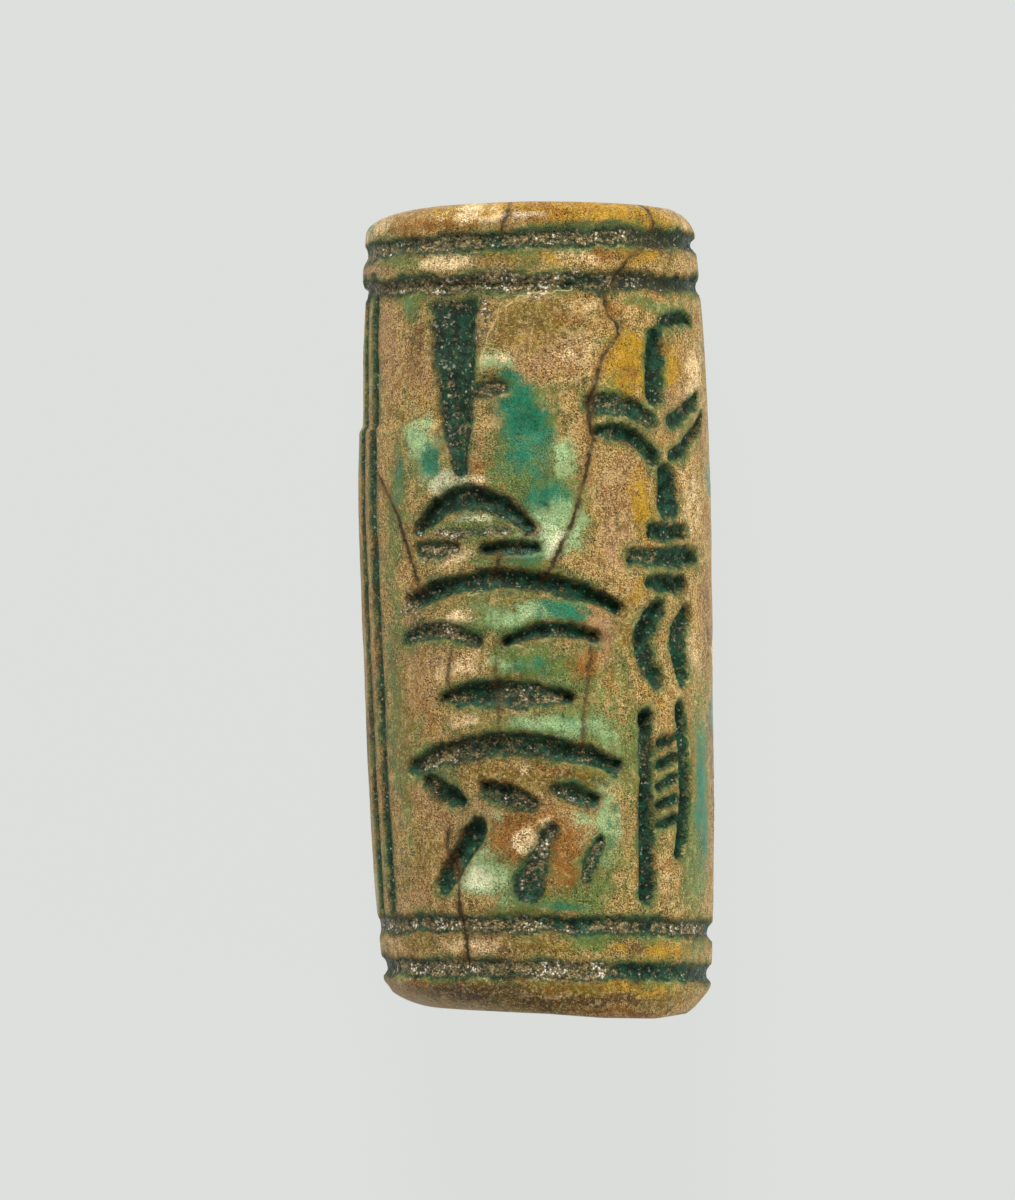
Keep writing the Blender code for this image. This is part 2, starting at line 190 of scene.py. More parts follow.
FRONT_COLUMN = (
    Stroke((-28, 0.962), (-25, 0.705), 0.0, (0.29, 0.22, 0.07), 1.0, 0.25),
    Stroke((-19, 0.826), (-10, 0.832), 0.0, (0.08, 0.09, 0.05), 0.7, 0.9),
    Stroke((-41, 0.612), (-2, 0.612), 0.17, (0.07, 0.13, 0.07), 1.1, 0.4),
    Stroke((-42, 0.582), (-27, 0.580), 0.0, (0.05, 0.08, 0.05), 0.9, 0.8),
    Stroke((-17, 0.579), (0, 0.583), 0.0, (0.05, 0.07, 0.05), 0.9, 0.6),
    Stroke((-45, 0.497), (27, 0.490), 0.14, (0.08, 0.105, 0.07), 1.2, 0.3),
    Stroke((-46, 0.441), (-20, 0.436), 0.05, (0.06, 0.085, 0.05), 0.8, 0.9),
    Stroke((-11, 0.434), (19, 0.446), 0.05, (0.05, 0.08, 0.05), 1.0, 0.3),
    Stroke((-33, 0.351), (10, 0.348), 0.02, (0.04, 0.15, 0.04), 1.1, 0.6),
    Stroke((-46, 0.238), (25, 0.243), 0.13, (0.09, 0.125, 0.08), 1.2, 0.55),
    Stroke((-41, 0.219), (-28, 0.190), 0.0, (0.06, 0.11, 0.08), 1.1, 0.8),
    Stroke((-19, 0.209), (-4, 0.184), 0.0, (0.06, 0.12, 0.08), 1.1, 0.9),
    Stroke((5, 0.207), (18, 0.188), 0.0, (0.06, 0.10, 0.06), 0.9, 0.8),
    Stroke((-22, 0.147), (-36, 0.055), 0.0, (0.11, 0.12, 0.09), 1.2, 0.2),
    Stroke((3, 0.145), (-6, 0.055), 0.0, (0.06, 0.11, 0.15), 0.8, 0.75),
    Stroke((19, 0.130), (14, 0.070), 0.0, (0.05, 0.07, 0.06), 0.6, 0.5),
)

SIDE_COLUMN = (
    Stroke((45, 0.918), (43.5, 0.826), 0.0, (0.10, 0.12, 0.12), 1.2, 0.15),
    Stroke((49, 0.938), (66, 0.948), 0.02, (0.08, 0.06, 0.04), 0.9, 0.5),
    Stroke((20, 0.808), (41, 0.786), 0.03, (0.11, 0.11, 0.08), 0.9, 0.6),
    Stroke((51, 0.786), (69, 0.826), -0.01, (0.08, 0.08, 0.05), 0.9, 0.5),
    Stroke((21, 0.764), (42, 0.727), 0.05, (0.06, 0.08, 0.08), 1.0, 0.4),
    Stroke((52, 0.732), (73, 0.800), -0.02, (0.07, 0.07, 0.04), 0.9, 0.4),
    Stroke((48, 0.700), (48.5, 0.655), 0.0, (0.13, 0.15, 0.16), 1.0, 0.15),
    Stroke((41, 0.611), (56, 0.613), 0.0, (0.08, 0.09, 0.08), 1.0, 0.2),
    Stroke((33, 0.571), (62, 0.574), 0.0, (0.08, 0.10, 0.09), 1.0, 0.25),
    Stroke((40, 0.531), (56, 0.529), 0.0, (0.07, 0.09, 0.08), 1.0, 0.2),
    Stroke((43, 0.492), (42, 0.380), -0.11, (0.09, 0.12, 0.09), 1.1, 0.3),
    Stroke((57, 0.484), (56, 0.384), -0.07, (0.10, 0.13, 0.10), 1.1, 0.25),
    Stroke((37, 0.322), (37, 0.042), 0.0, (0.08, 0.09, 0.10), 1.1, 0.45),
    Stroke((53, 0.335), (53, 0.112), 0.05, (0.08, 0.10, 0.08), 1.1, 0.12),
)

REAR_COLUMN = (
    Stroke((112, 0.950), (112, 0.845), 0.0, (0.08, 0.10, 0.09), 1.0, 0.5),
    Stroke((100, 0.775), (124, 0.775), 0.0, (0.07, 0.09, 0.07), 1.0, 0.3),
    Stroke((97, 0.620), (127, 0.620), 0.12, (0.06, 0.10, 0.06), 1.1, 0.6),
    Stroke((119, 0.520), (105, 0.440), 0.0, (0.08, 0.09, 0.08), 1.0, 0.3),
    Stroke((98, 0.335), (126, 0.335), -0.08, (0.06, 0.10, 0.06), 1.0, 0.6),
    Stroke((104, 0.215), (100, 0.110), 0.0, (0.08, 0.09, 0.08), 1.0, 0.3),
    Stroke((121, 0.215), (117, 0.110), 0.0, (0.08, 0.09, 0.08), 1.0, 0.5),
)

FAR_COLUMN = (
    Stroke((-124, 0.950), (-123, 0.770), 0.0, (0.18, 0.13, 0.07), 1.0, 0.5),
    Stroke((-141, 0.650), (-107, 0.650), 0.10, (0.06, 0.10, 0.06), 1.1, 0.4),
    Stroke((-139, 0.545), (-109, 0.545), 0.0, (0.03, 0.12, 0.03), 1.0, 0.6),
    Stroke((-134, 0.450), (-134, 0.345), 0.0, (0.08, 0.09, 0.08), 1.0, 0.3),
    Stroke((-116, 0.450), (-116, 0.345), 0.0, (0.08, 0.09, 0.08), 1.0, 0.3),
    Stroke((-141, 0.235), (-108, 0.235), -0.09, (0.06, 0.10, 0.06), 1.0, 0.5),
    Stroke((-121, 0.140), (-131, 0.060), 0.0, (0.08, 0.09, 0.08), 1.0, 0.3),
)

# One of the short slanted strokes that are stacked between the two long ones low in the side column
HATCH = Stroke((42.5, -0.005), (50.5, 0.006), 0.0, (0.04, 0.05, 0.04), 0.6, 0.1)
HATCH_COUNT = 5
HATCH_PLACES = (0.158, 0.284)

# The four ring grooves from the head down: how sandy each is, the angles over which it turns clean, how
# ragged its edges are, and how far it strays up or down at the left, the crest and the right
Ring = namedtuple("Ring", "sand clean_from clean_at ragged strays")

RINGS = (
    Ring(0.95, 25, 60, 1.2, (-0.30 * MM, -0.05 * MM, 0.08 * MM)),
    Ring(1.20, 16, 50, 2.2, (-0.14 * MM, -0.05 * MM, 0.06 * MM)),
    Ring(1.00, 60, 90, 1.2, (-0.10 * MM, -0.05 * MM, -0.19 * MM)),
    Ring(1.10, 14, 34, 1.4, (0.0, -0.04 * MM, -0.13 * MM)),
)

# How far the ends' edges stand out or in, from the left of the bead to its right
EDGE_PLACES = (-0.92, -0.88, -0.5, 0.0, 0.3, 0.6, 0.78, 0.86, 0.92)
HEAD_EDGE = tuple(stray * MM for stray in (0, 0, 0.05, 0.09, 0.10, 0.10, 0.08, 0.02, -0.06))
FOOT_EDGE = tuple(stray * MM for stray in (0.56, 0.20, 0.13, 0.05, -0.05, -0.07, 0.05, 0.27, 0.36))
EDGE_REACH = 1.0 * MM

# Patches of each glaze, stain or crust: their middle as an angle and a share, their half size round and
# along the bead, and their strength
Patch = namedtuple("Patch", "angle share round_by along_by strength")

PATCHES = {
    "green": (
        (-48, 1.035, 8, 0.014, 0.8), (-2, 1.036, 5, 0.012, 0.9), (-48, 0.958, 5, 0.026, 0.9),
        (-1, 0.952, 5, 0.014, 0.7), (2, 0.8, 9, 0.05, 0.7), (-8, 0.72, 9, 0.05, 0.8),
        (3, 0.665, 12, 0.04, 0.9), (0, 0.598, 14, 0.028, 0.9), (-40, 0.705, 5, 0.036, 0.6),
        (-52, 0.655, 5, 0.06, 0.75), (-51, 0.56, 3, 0.05, 0.25), (-20, 0.612, 15, 0.018, 0.9),
        (-12, 0.565, 9, 0.013, 0.8), (-8, 0.472, 19, 0.03, 0.85), (-14, 0.452, 17, 0.012, 0.7),
        (28, 0.44, 4, 0.06, 0.6), (-54, 0.42, 4, 0.11, 0.6), (-54, 0.28, 4.5, 0.2, 0.7),
        (-4, 0.4, 12, 0.018, 0.95), (10, 0.388, 9, 0.03, 0.95), (-2, 0.3, 17, 0.02, 0.9),
        (-46, 0.27, 7, 0.05, 0.5), (17, 0.29, 8, 0.06, 0.8), (19, 0.07, 8, 0.055, 0.7),
        (-14, 0.095, 7, 0.034, 0.8), (-3, 0.035, 12, 0.016, 0.95), (12, 0.06, 8, 0.044, 0.7),
        (32, 0.899, 10, 0.005, 0.95), (27, 0.84, 5, 0.026, 0.55), (48, 0.968, 14, 0.009, 0.8),
        (42, 0.64, 4, 0.022, 0.5), (31, 0.26, 3.5, 0.12, 0.6), (67, 0.21, 9, 0.15, 0.85),
        (61, 0.07, 8, 0.05, 0.6), (18, -0.035, 8, 0.014, 0.8), (60, -0.03, 9, 0.012, 0.6),
        (8, -0.092, 14, 0.01, 0.6), (40, -0.078, 16, 0.006, 0.75),
    ),
    "teal": (
        (-47, 0.955, 2.5, 0.014, 0.6), (-5, 0.808, 6.5, 0.036, 0.85), (-7, 0.822, 5, 0.026, 0.7),
        (-1, 0.775, 6, 0.03, 0.7), (-3, 0.722, 6, 0.028, 0.6), (5, 0.655, 6, 0.026, 0.8),
        (-5, 0.572, 6, 0.012, 0.75), (-35, 0.728, 3, 0.026, 0.9), (-51, 0.7, 2.5, 0.04, 0.55),
        (8, 0.478, 7, 0.018, 0.85), (-3, 0.394, 6, 0.009, 0.6), (10, 0.314, 5, 0.012, 0.6),
        (-31, 0.225, 4, 0.01, 0.6), (14, 0.238, 4, 0.01, 0.6), (23, 0.15, 5, 0.05, 0.45),
        (7, 0.018, 8, 0.01, 0.6), (68, 0.2, 5, 0.09, 0.75),
    ),
    "mint": (
        (-12, 0.868, 5, 0.014, 1.0), (9, 0.742, 3.5, 0.024, 0.75), (9, 0.7, 4, 0.014, 0.6),
        (7, 0.62, 6, 0.026, 0.9), (2, 0.585, 8, 0.013, 0.9), (-40, 0.755, 5, 0.028, 0.85),
        (-8, 0.475, 12, 0.018, 0.7), (-10, 0.398, 5, 0.009, 0.6), (2, 0.31, 11, 0.013, 0.9),
        (19.5, 0.2, 5.5, 0.11, 0.62), (-18, 0.125, 5, 0.032, 0.85), (-19, 0.062, 8, 0.026, 1.0),
        (16, -0.094, 8, 0.009, 0.6),
    ),
    "milk": (
        (5, 0.592, 4, 0.018, 0.8), (-30, 0.693, 6, 0.016, 1.0), (-21, 0.63, 5, 0.006, 0.7),
        (-2, 0.48, 4, 0.016, 0.3), (-20, 0.062, 4.5, 0.018, 1.0),
    ),
    "olive": (
        (24, 1.1, 8, 0.008, 0.5), (-10, 1.04, 9, 0.014, 0.8), (55, 1.04, 8, 0.016, 0.6),
        (2, 0.935, 12, 0.034, 1.0), (-50, 0.33, 5, 0.12, 0.5), (-20, 0.232, 14, 0.012, 0.6),
        (3, 0.23, 12, 0.018, 1.0), (9, 0.236, 9, 0.014, 1.0), (-44, 0.11, 8, 0.05, 0.5),
        (-5, 0.05, 6, 0.009, 0.8), (33, 0.45, 4, 0.045, 0.6), (-48, -0.03, 10, 0.012, 0.8),
        (-2, -0.032, 10, 0.014, 0.8), (-6, -0.105, 34, 0.024, 0.95), (44, -0.112, 16, 0.014, 0.7),
    ),
    "mustard": (
        (-20, 1.105, 28, 0.022, 0.6), (34, 1.1, 26, 0.022, 0.95), (8, 1.04, 5, 0.012, 0.8),
        (39, 1.045, 10, 0.016, 0.9), (0, 0.905, 9, 0.022, 0.35), (34, 0.868, 8, 0.042, 1.0),
        (51, 0.875, 5, 0.032, 0.95), (37, 0.655, 4.5, 0.045, 0.85), (36, 0.515, 4, 0.02, 0.75),
        (61, 0.57, 5, 0.03, 0.5), (42, -0.038, 16, 0.016, 0.6), (36, -0.096, 12, 0.016, 0.85),
    ),
    "pink": (
        (-72, 1.035, 14, 0.024, 0.6), (-58, 0.89, 9, 0.08, 0.5), (4, 0.88, 12, 0.04, 0.45),
        (25, 0.6, 8, 0.07, 0.45), (22, 0.45, 6, 0.042, 0.85),
    ),
    "rust": (
        (-30, 1.09, 16, 0.005, 0.7), (14, 1.108, 12, 0.004, 0.6), (42, 1.096, 12, 0.005, 0.4),
        (-48, 1.1, 12, 0.02, 0.45), (3, 1.09, 7, 0.012, 0.5), (26, 1.045, 7, 0.014, 0.6),
        (10, 0.95, 6, 0.012, 0.6), (27, 0.955, 6, 0.016, 0.6), (-19, 0.712, 5, 0.012, 0.6),
        (19, 0.428, 4, 0.03, 0.6), (14, 0.4, 6, 0.02, 0.6), (-46, 0.34, 8, 0.03, 0.35),
        (4, 0.238, 6, 0.008, 0.6), (-6, 0.138, 11, 0.03, 1.0), (4, 0.105, 6, 0.032, 0.8),
        (31, 0.852, 4, 0.016, 0.5), (60, 0.26, 4, 0.09, 0.4), (-50, -0.095, 14, 0.016, 0.5),
        (28, -0.143, 20, 0.004, 1.0), (4, -0.1, 6, 0.008, 0.6),
    ),
    "brown": (
        (46, 1.085, 16, 0.004, 0.25), (-14, 1.083, 12, 0.004, 0.6), (48, 1.068, 26, 0.014, 0.7),
        (46, 1.0, 24, 0.014, 0.75), (-40, 1.01, 20, 0.005, 0.5), (20, 1.084, 14, 0.006, 0.7),
        (-42, 0.9, 6, 0.05, 0.45), (10, 0.236, 8, 0.012, 0.55), (72, 0.74, 5, 0.07, 0.35),
        (72, 0.5, 5, 0.08, 0.35), (-14, -0.042, 6, 0.01, 0.5), (34, -0.03, 10, 0.01, 0.5),
        (-38, -0.112, 14, 0.012, 0.85), (-4, -0.12, 20, 0.01, 0.85), (24, -0.124, 14, 0.008, 0.8),
        (-22, -0.108, 8, 0.006, 0.7),
    ),
    "halo": (
        (-17, 0.607, 14, 0.009, 0.8), (-34, 0.24, 6, 0.008, 0.6), (21, 0.232, 5, 0.01, 0.55),
    ),
    "pale": (
        (-72, 1.08, 16, 0.034, 0.4), (-8, 1.088, 10, 0.007, 0.6), (-24, 1.106, 9, 0.012, 0.6),
        (70, 1.08, 9, 0.02, 0.5), (-28, 1.036, 9, 0.012, 1.0), (16, 1.04, 5, 0.01, 0.6),
        (13, 0.895, 6, 0.03, 0.4), (16, 0.965, 6, 0.02, 0.35), (-12, 0.872, 4, 0.009, 0.7),
        (-20, 0.69, 4, 0.009, 0.85), (-30, 0.573, 9, 0.011, 0.6), (-26, 0.468, 6, 0.012, 0.7),
        (-3, 0.475, 3, 0.01, 0.25), (-26, 0.396, 8, 0.014, 0.65), (-25, 0.31, 7, 0.01, 0.6),
        (-7, 0.244, 3, 0.008, 0.6), (-4, 0.128, 3.5, 0.015, 1.0), (-3, 0.124, 2, 0.01, 1.0),
        (1, 0.158, 2.4, 0.005, 1.0), (67, 0.86, 7, 0.05, 0.6), (62, 0.66, 8, 0.06, 0.4),
        (62, 0.42, 8, 0.05, 0.35), (45, 0.064, 6, 0.022, 0.3), (-68, -0.035, 8, 0.016, 0.35),
        (-28, -0.035, 9, 0.014, 0.6), (-60, -0.085, 8, 0.01, 0.5), (-22, -0.09, 7, 0.005, 0.6),
        (6, -0.112, 5, 0.004, 0.5),
    ),
    "crust": (
        (-34, 0.991, 15, 0.006, 0.8), (-8, 0.987, 9, 0.006, 1.0), (28, 1.006, 14, 0.006, 0.7),
        (-17, 0.952, 3, 0.036, 0.8), (-1, 0.998, 20, 0.012, 1.0), (-22, 0.602, 19, 0.008, 0.95),
        (-34.5, 0.92, 2.2, 0.034, 0.5), (-31.5, 0.835, 2.2, 0.045, 0.5), (-26, 0.765, 5, 0.034, 0.55),
        (-28, 0.963, 9, 0.006, 0.75), (-21, 0.88, 1.6, 0.03, 0.6), (1, -0.071, 15, 0.011, 1.0),
        (-38, -0.07, 12, 0.008, 0.6), (-44, 0.48, 6, 0.03, 0.85), (-36, 0.452, 8, 0.012, 0.55),
        (-38, 0.41, 6, 0.008, 0.6),
    ),
}

# Hidden sides carry the same kinds of patch, laid at random and plainer
HIDDEN_KINDS = (
    "green", "olive", "mustard", "mint", "rust", "green", "pale", "teal", "brown", "pink", "crust"
)
HIDDEN_PATCHES = 190
HIDDEN_ANGLES = (80.0, 278.0)
HIDDEN_SHARES = (-0.13, 1.13)
HIDDEN_ROUND = (5, 15)
HIDDEN_ALONG = (0.015, 0.07)
HIDDEN_STRENGTHS = (0.4, 0.9)
HIDDEN_SEED = 41
PATCH_EDGE = 0.62
PATCH_WANDER_ANGLE = 7.0
PATCH_WANDER_SHARE = 0.022

# A crack runs through (angle, share) places and is as strong as its first value
Crack = namedtuple("Crack", "strength places")

CRACKS = (
    Crack(1.0, ((25, 0.969), (26, 0.946), (29, 0.936), (29.5, 0.915), (26, 0.899), (23, 0.876), (21, 0.844),
                (18.5, 0.813), (18, 0.782), (19.5, 0.751), (17.5, 0.720), (16, 0.689), (14, 0.657),
                (12, 0.626), (9, 0.595), (6, 0.564), (3, 0.540))),
    Crack(0.9, ((-60, 0.691), (-54, 0.659), (-50, 0.628), (-47, 0.588), (-44, 0.557), (-41, 0.518))),
    Crack(0.42, ((17, 0.425), (16, 0.378), (15, 0.347), (14, 0.300), (14, 0.277))),
    Crack(0.7, ((-33, 0.144), (-34, 0.120), (-30, 0.058), (-30, 0.019), (-28.5, -0.019), (-28, -0.058))),
    Crack(0.6, ((-12, 0.570), (-13, 0.555), (-14.5, 0.540))),
    Crack(0.36, ((-14, 0.408), (-13.5, 0.330), (-13, 0.292))),
    Crack(0.42, ((-29.5, 0.416), (-31, 0.377), (-30, 0.362))),
    Crack(0.9, ((-8, 1.117), (-8.5, 1.099), (-10, 1.083))),
    Crack(0.7, ((47, 1.121), (48, 1.101), (47.5, 1.086))),
    Crack(0.9, ((41, 1.053), (38, 1.046), (34, 1.033), (31, 1.017), (29, 1.001))),
)
CRACK_REACH = 0.40 * MM
CRACK_DENT = 0.035 * MM
CRACK_HALF_WIDTH = 0.05 * MM
CRACK_WANDER = 0.045 * MM

GLAZE_KINDS = tuple(kind for kind in PATCHES if kind != "crust")

# Noises of the finish: the size of their lumps, their finer detail, how rough it is, and any stretch
Lumps = namedtuple("Lumps", "size detail roughness stretch", defaults=((1, 1, 1),))

NOISES = {
    "grain": Lumps(0.042 * MM, 2, 0.70),
    "stain": Lumps(0.42 * MM, 3, 0.62),
    "broad": Lumps(1.1 * MM, 3, 0.55),
    "cloud": Lumps(2.2 * MM, 4, 0.62),
    "streak": Lumps(0.13 * MM, 3, 0.65, (1, 0.22, 1)),
    "broken": Lumps(0.36 * MM, 6, 0.72),
    "depth": Lumps(0.60 * MM, 4, 0.60),
    "mottle": Lumps(0.26 * MM, 4, 0.72),
    "spots": Lumps(0.065 * MM, 2, 0.60),
    "pits": Lumps(0.10 * MM, 3, 0.65),
    "creep": Lumps(0.45 * MM, 3, 0.60),
    "patchy": Lumps(1.2 * MM, 3, 0.60),
    "clean": Lumps(0.26 * MM, 3, 0.60),
    "heap": Lumps(0.18 * MM, 4, 0.70),
    "cluster": Lumps(0.55 * MM, 3, 0.65),
    "ragged": Lumps(0.11 * MM, 3, 0.65),
    "uneven": Lumps(0.32 * MM, 2, 0.50),
    "scatter": Lumps(0.15 * MM, 3, 0.70),
    "gaps": Lumps(0.70 * MM, 2, 0.55),
}
SAND_GRAIN = 0.064 * MM
RELIEF = 0.024 * MM
STONE_GLOSS = 0.22
COAT_ROUGHNESS = 0.16

# A tint: the noise that places it and where it starts and is full, the area that it keeps to, its
# strength and colour, and the gain and lift by which the grain scales that colour
Tint = namedtuple("Tint", "noise start full area strength colour gain lift")

GROUND_TINTS = (
    Tint("broad", 0.48, 0.64, "all", 0.50, "mustard", 1.0, 0.40),
    Tint("cloud", 0.50, 0.66, "all", 0.60, "pink", 1.0, 0.55),
    Tint("stain", 0.50, 0.68, "all", 0.60, "rust", 1.0, 0.50),
    Tint("damp", 0.94, 0.80, "all", 0.45, "green", 1.4, 0.30),
)

FLECKS = (
    Tint("mottle", 0.53, 0.64, "bare", 0.56, "rust", 1.0, 0.50),
    Tint("mottle", 0.47, 0.37, "bare", 0.48, "cream", 1.0, 0.35),
    Tint("spots", 0.57, 0.66, "thin", 0.70, "rust", 0.0, 1.00),
    Tint("spots", 0.42, 0.33, "open", 0.70, "cream", 0.0, 1.00),
    Tint("pits", 0.51, 0.62, "olive", 0.75, "rust", 0.0, 0.70),
    Tint("pits", 0.48, 0.37, "olive", 0.45, "cream", 0.0, 1.00),
    Tint("pits", 0.61, 0.69, "all", 0.80, "umber", 0.0, 1.00),
)

# How light a grain of sand is, from its own value
GRAIN_LIGHT = ((0.0, 0.04), (0.25, 0.22), (0.55, 0.50), (0.90, 1.0))

# What the finish reads inside the ends and in the bore, where it isn't 0. Distances are in millimetres.
INNER_LAYERS = {
    "cut": FAR_FROM_CUT / MM, "crack": CRACK_REACH / MM, "sand": 0.25, "brown": 0.45, "olive": 0.2
}


def length_property(name, description, value):
    return FloatProperty(
        name=name, description=description, subtype="DISTANCE", unit="LENGTH", default=value
    )


def power_property(name, description, value):
    return FloatProperty(name=name, description=description, unit="POWER", default=value)


def angle_property(name, description, degrees):
    return FloatProperty(
        name=name, description=description, subtype="ANGLE", unit="ROTATION",
        default=math.radians(degrees),
    )


def colour_property(name, description, value):
    return FloatVectorProperty(
        name=name, description=description, subtype="COLOR", size=3, min=0.0, max=1.0, default=value
    )


class BeadForm(PropertyGroup):
    """Sizes of the bead, its carving and what fills it"""

    length: length_property("Length", "From end face to end face", NODE_BOX[1].y - NODE_BOX[0].y)
    belly_radius: length_property("Belly radius", "Largest radius of the body", 4.75 * MM)
    bore_radius: length_property("Bore radius", "Radius of the hole for the cord", 1.30 * MM)
    flat_depth: length_property("Flat depth", "How deep the resting flat cuts in", 0.32 * MM)
    cut_depth: length_property("Stroke depth", "Depth of an ordinary carved stroke", 0.25 * MM)
    ring_width: length_property("Ring width", "Width of the ring grooves", 0.42 * MM)
    ring_depth: length_property("Ring depth", "Depth of the ring grooves", 0.16 * MM)
    border_width: length_property("Border width", "Width of the two upright lines", 0.38 * MM)
    border_depth: length_property("Border depth", "Depth of the two upright lines", 0.13 * MM)
    flake_depth: length_property("Lost layer", "Thickness of the flaked layer", 0.10 * MM)
    grit: length_property("Grit", "Height of the sand's grains in the grooves", 0.030 * MM)


class GlazeColours(PropertyGroup):
    """Colours of the worn glaze, the stone and the dirt, with the painted shade in the grooves and painted
    glints on their sand
    """

    umber: colour_property("Umber", "Darkest grains of the bare ground", (0.055, 0.030, 0.010))
    tan: colour_property("Tan", "Middle of the bare ground", (0.322, 0.200, 0.048))
    cream: colour_property("Cream", "Palest grains of the bare ground", (0.620, 0.440, 0.180))
    teal: colour_property("Teal", "Thick clean glaze", (0.004, 0.128, 0.066))
    mint: colour_property("Mint", "Thin milky glaze", (0.225, 0.340, 0.152))
    milk: colour_property("Milk", "Clouded pale glaze", (0.540, 0.550, 0.330))
    green: colour_property("Green", "Glaze over brown ground", (0.082, 0.132, 0.029))
    olive: colour_property("Olive", "Browned glaze", (0.150, 0.105, 0.008))
    mustard: colour_property("Mustard", "Yellowed glaze", (0.315, 0.170, 0.002))
    rust: colour_property("Rust", "Iron stain", (0.205, 0.083, 0.010))
    pale: colour_property("Pale", "Bare pale spots", (0.720, 0.520, 0.270))
    brown: colour_property("Brown", "Dark stain", (0.060, 0.034, 0.011))
    pink: colour_property("Pink", "Reddish worn ground", (0.310, 0.175, 0.084))
    halo: colour_property("Groove edge", "Dark glaze along the edges of the cuts", (0.015, 0.060, 0.027))
    # Glaze pooled in the grooves, made darker partly as painted shade inside them
    deep: colour_property("Groove glaze and shade", "Glaze pooled in the grooves", (0.006, 0.019, 0.009))
    pooled: colour_property("Clean groove", "Clean glaze in a groove", (0.009, 0.060, 0.029))
    sand: colour_property("Sand", "Grains in the grooves", (0.410, 0.310, 0.145))
    # Near-white grains in the grooves, painted to stand in for glints of light on the sand
    painted_glint: colour_property("Painted glints", "Pale grains painted as glints in the grooves", (0.840, 0.760, 0.600))


class Studio(PropertyGroup):
    """The stage's floor, lights and camera"""

    ceiling: FloatProperty(
        name="Ceiling", description="Brightness of the ceiling against the walls", min=0.0, default=0.10
    )
    floor: colour_property("Floor", "Colour of the floor and the surroundings", (0.716, 0.730, 0.709))
    key: power_property("Key light", "Power of the large soft light", 5.3)
    fill: power_property("Fill light", "Power of the opposite light", 2.0)
    left_fill: power_property("Left fill", "Power of the left light", 0.5)
    distance: length_property("Camera distance", "From the bead's axis", 0.275)
    tilt: angle_property("Camera tilt", "How far the camera leans back from straight above", 1.57)
    roll: angle_property("Camera roll", "Turn of the camera about its view", 0.4)


def ramp(value, start, full):
    """0 up to the start, 1 from the full value on, and a smooth rise between them."""
    share = np.clip((value - start) / (full - start), 0.0, 1.0)
    return share * share * (3 - 2 * share)


def value_noise(points, size, seed):
    """Smooth seeded noise from -1 to 1 at each point, with lumps of about this size."""
    table = np.random.default_rng(seed).uniform(-1, 1, (NOISE_CELLS,) * 3)
    place = points / size
    cell = np.floor(place).astype(int)
    part = place - cell
    part = part * part * (3 - 2 * part)
    total = np.zeros(points.shape[:-1])
    for corner in np.ndindex(2, 2, 2):
        weight = np.prod(np.where(corner, part, 1 - part), axis=-1)
        x, y, z = np.moveaxis((cell + corner) % NOISE_CELLS, -1, 0)
        total += weight * table[x, y, z]
    return total


def rough_noise(points, size, seed, octaves):
    """Several sizes of the same noise together, each half as large and half as strong as the last."""
    total = sum(value_noise(points, size / 2**n, seed + n) / 2**n for n in range(octaves))
    return total / (2 - 0.5 ** (octaves - 1))


def barrel_radius(form, height):
    """The sound body's radius at a height from its middle, before its ends are rounded."""
    belly = form.length * (BELLY_SHARE - 0.5)
    above = height > belly
    reach = np.where(above, form.length / 2 - belly, form.length / 2 + belly)
    away = np.abs(height - belly) / reach
    taper = np.where(above, HEAD_TAPER, FOOT_TAPER)
    return form.belly_radius - taper * (EVEN_TAPER * away**2 + (1 - EVEN_TAPER) * away**6)


def axis_offset(form, height):
    """How far the body's centre stands to the side at a height from its middle."""
    share = height / (form.length / 2)
    return SIDE_SHIFT - FOOT_OFFSET * share + BOW_OFFSET * share * share


def ring_heights(form):
    """The middles of the four ring grooves, from the head down."""
    half = form.length / 2
    head = half - HEAD_ROUND_RUN - HEAD_LAND - form.ring_width / 2
    foot = FOOT_ROUND_RUN + FOOT_LAND + form.ring_width / 2 - half
    return head, head - form.ring_width - HEAD_BAND, foot + form.ring_width + FOOT_BAND, foot


def field_height(form, share):
    """The carved field runs between the inner ring grooves, from 0 at the foot to 1 at the head."""
    _, high, low, _ = ring_heights(form)
    return low + (high - low) * share


def field_share(form, height):
    """The share of the carved field's height that a height from the middle stands at."""
    _, high, low, _ = ring_heights(form)
    return (height - low) / (high - low)


def end_wear(form, angle, height):
    """How much further an end's rounding runs inwards on the worn side."""
    run = np.where(height > 0, HEAD_ROUND_RUN, FOOT_ROUND_RUN)
    up = np.clip((np.abs(height) - form.length / 2 + run) / run, 0.0, 1.0)
    side = np.maximum(np.cos(np.radians(angle - WORN_ANGLE)), 0.0)
    return END_WEAR * side * (1 - np.sqrt(1 - up * up))


def column_angles(form):
    """The angles of the mesh's columns, closest together where the carving shows."""
    angles = []
    for start, end, step in COLUMN_ZONES:
        count = math.ceil(math.radians(end - start) * form.belly_radius / step)
        angles.append(np.linspace(start, end, count, endpoint=False))
    return np.concatenate(angles)


def rounded_end(form, sign, reach, run):
    """(radius, height) rows of an end's rounding, from the barrel out to the end face."""
    turn = form.length / 2 - run
    edge = float(barrel_radius(form, sign * turn))
    count = round((reach + run) * QUARTER_SHARE / ROUND_STEP)
    swing = np.linspace(0, math.pi / 2, count + 1)
    return np.column_stack([edge - reach * (1 - np.cos(swing)), sign * (turn + run * np.sin(swing))])


def side_rows(form):
    """(radius, height) rows of the whole outer side, from the foot's end face to the head's."""
    foot = rounded_end(form, -1, FOOT_ROUND_REACH, FOOT_ROUND_RUN)[::-1]
    head = rounded_end(form, 1, HEAD_ROUND_REACH, HEAD_ROUND_RUN)
    low, high = foot[-1, 1], head[0, 1]
    heights = np.linspace(low, high, round((high - low) / SIDE_STEP) + 1)[1:-1]
    barrel = np.column_stack([barrel_radius(form, heights), heights])
    return np.concatenate([foot, barrel, head])


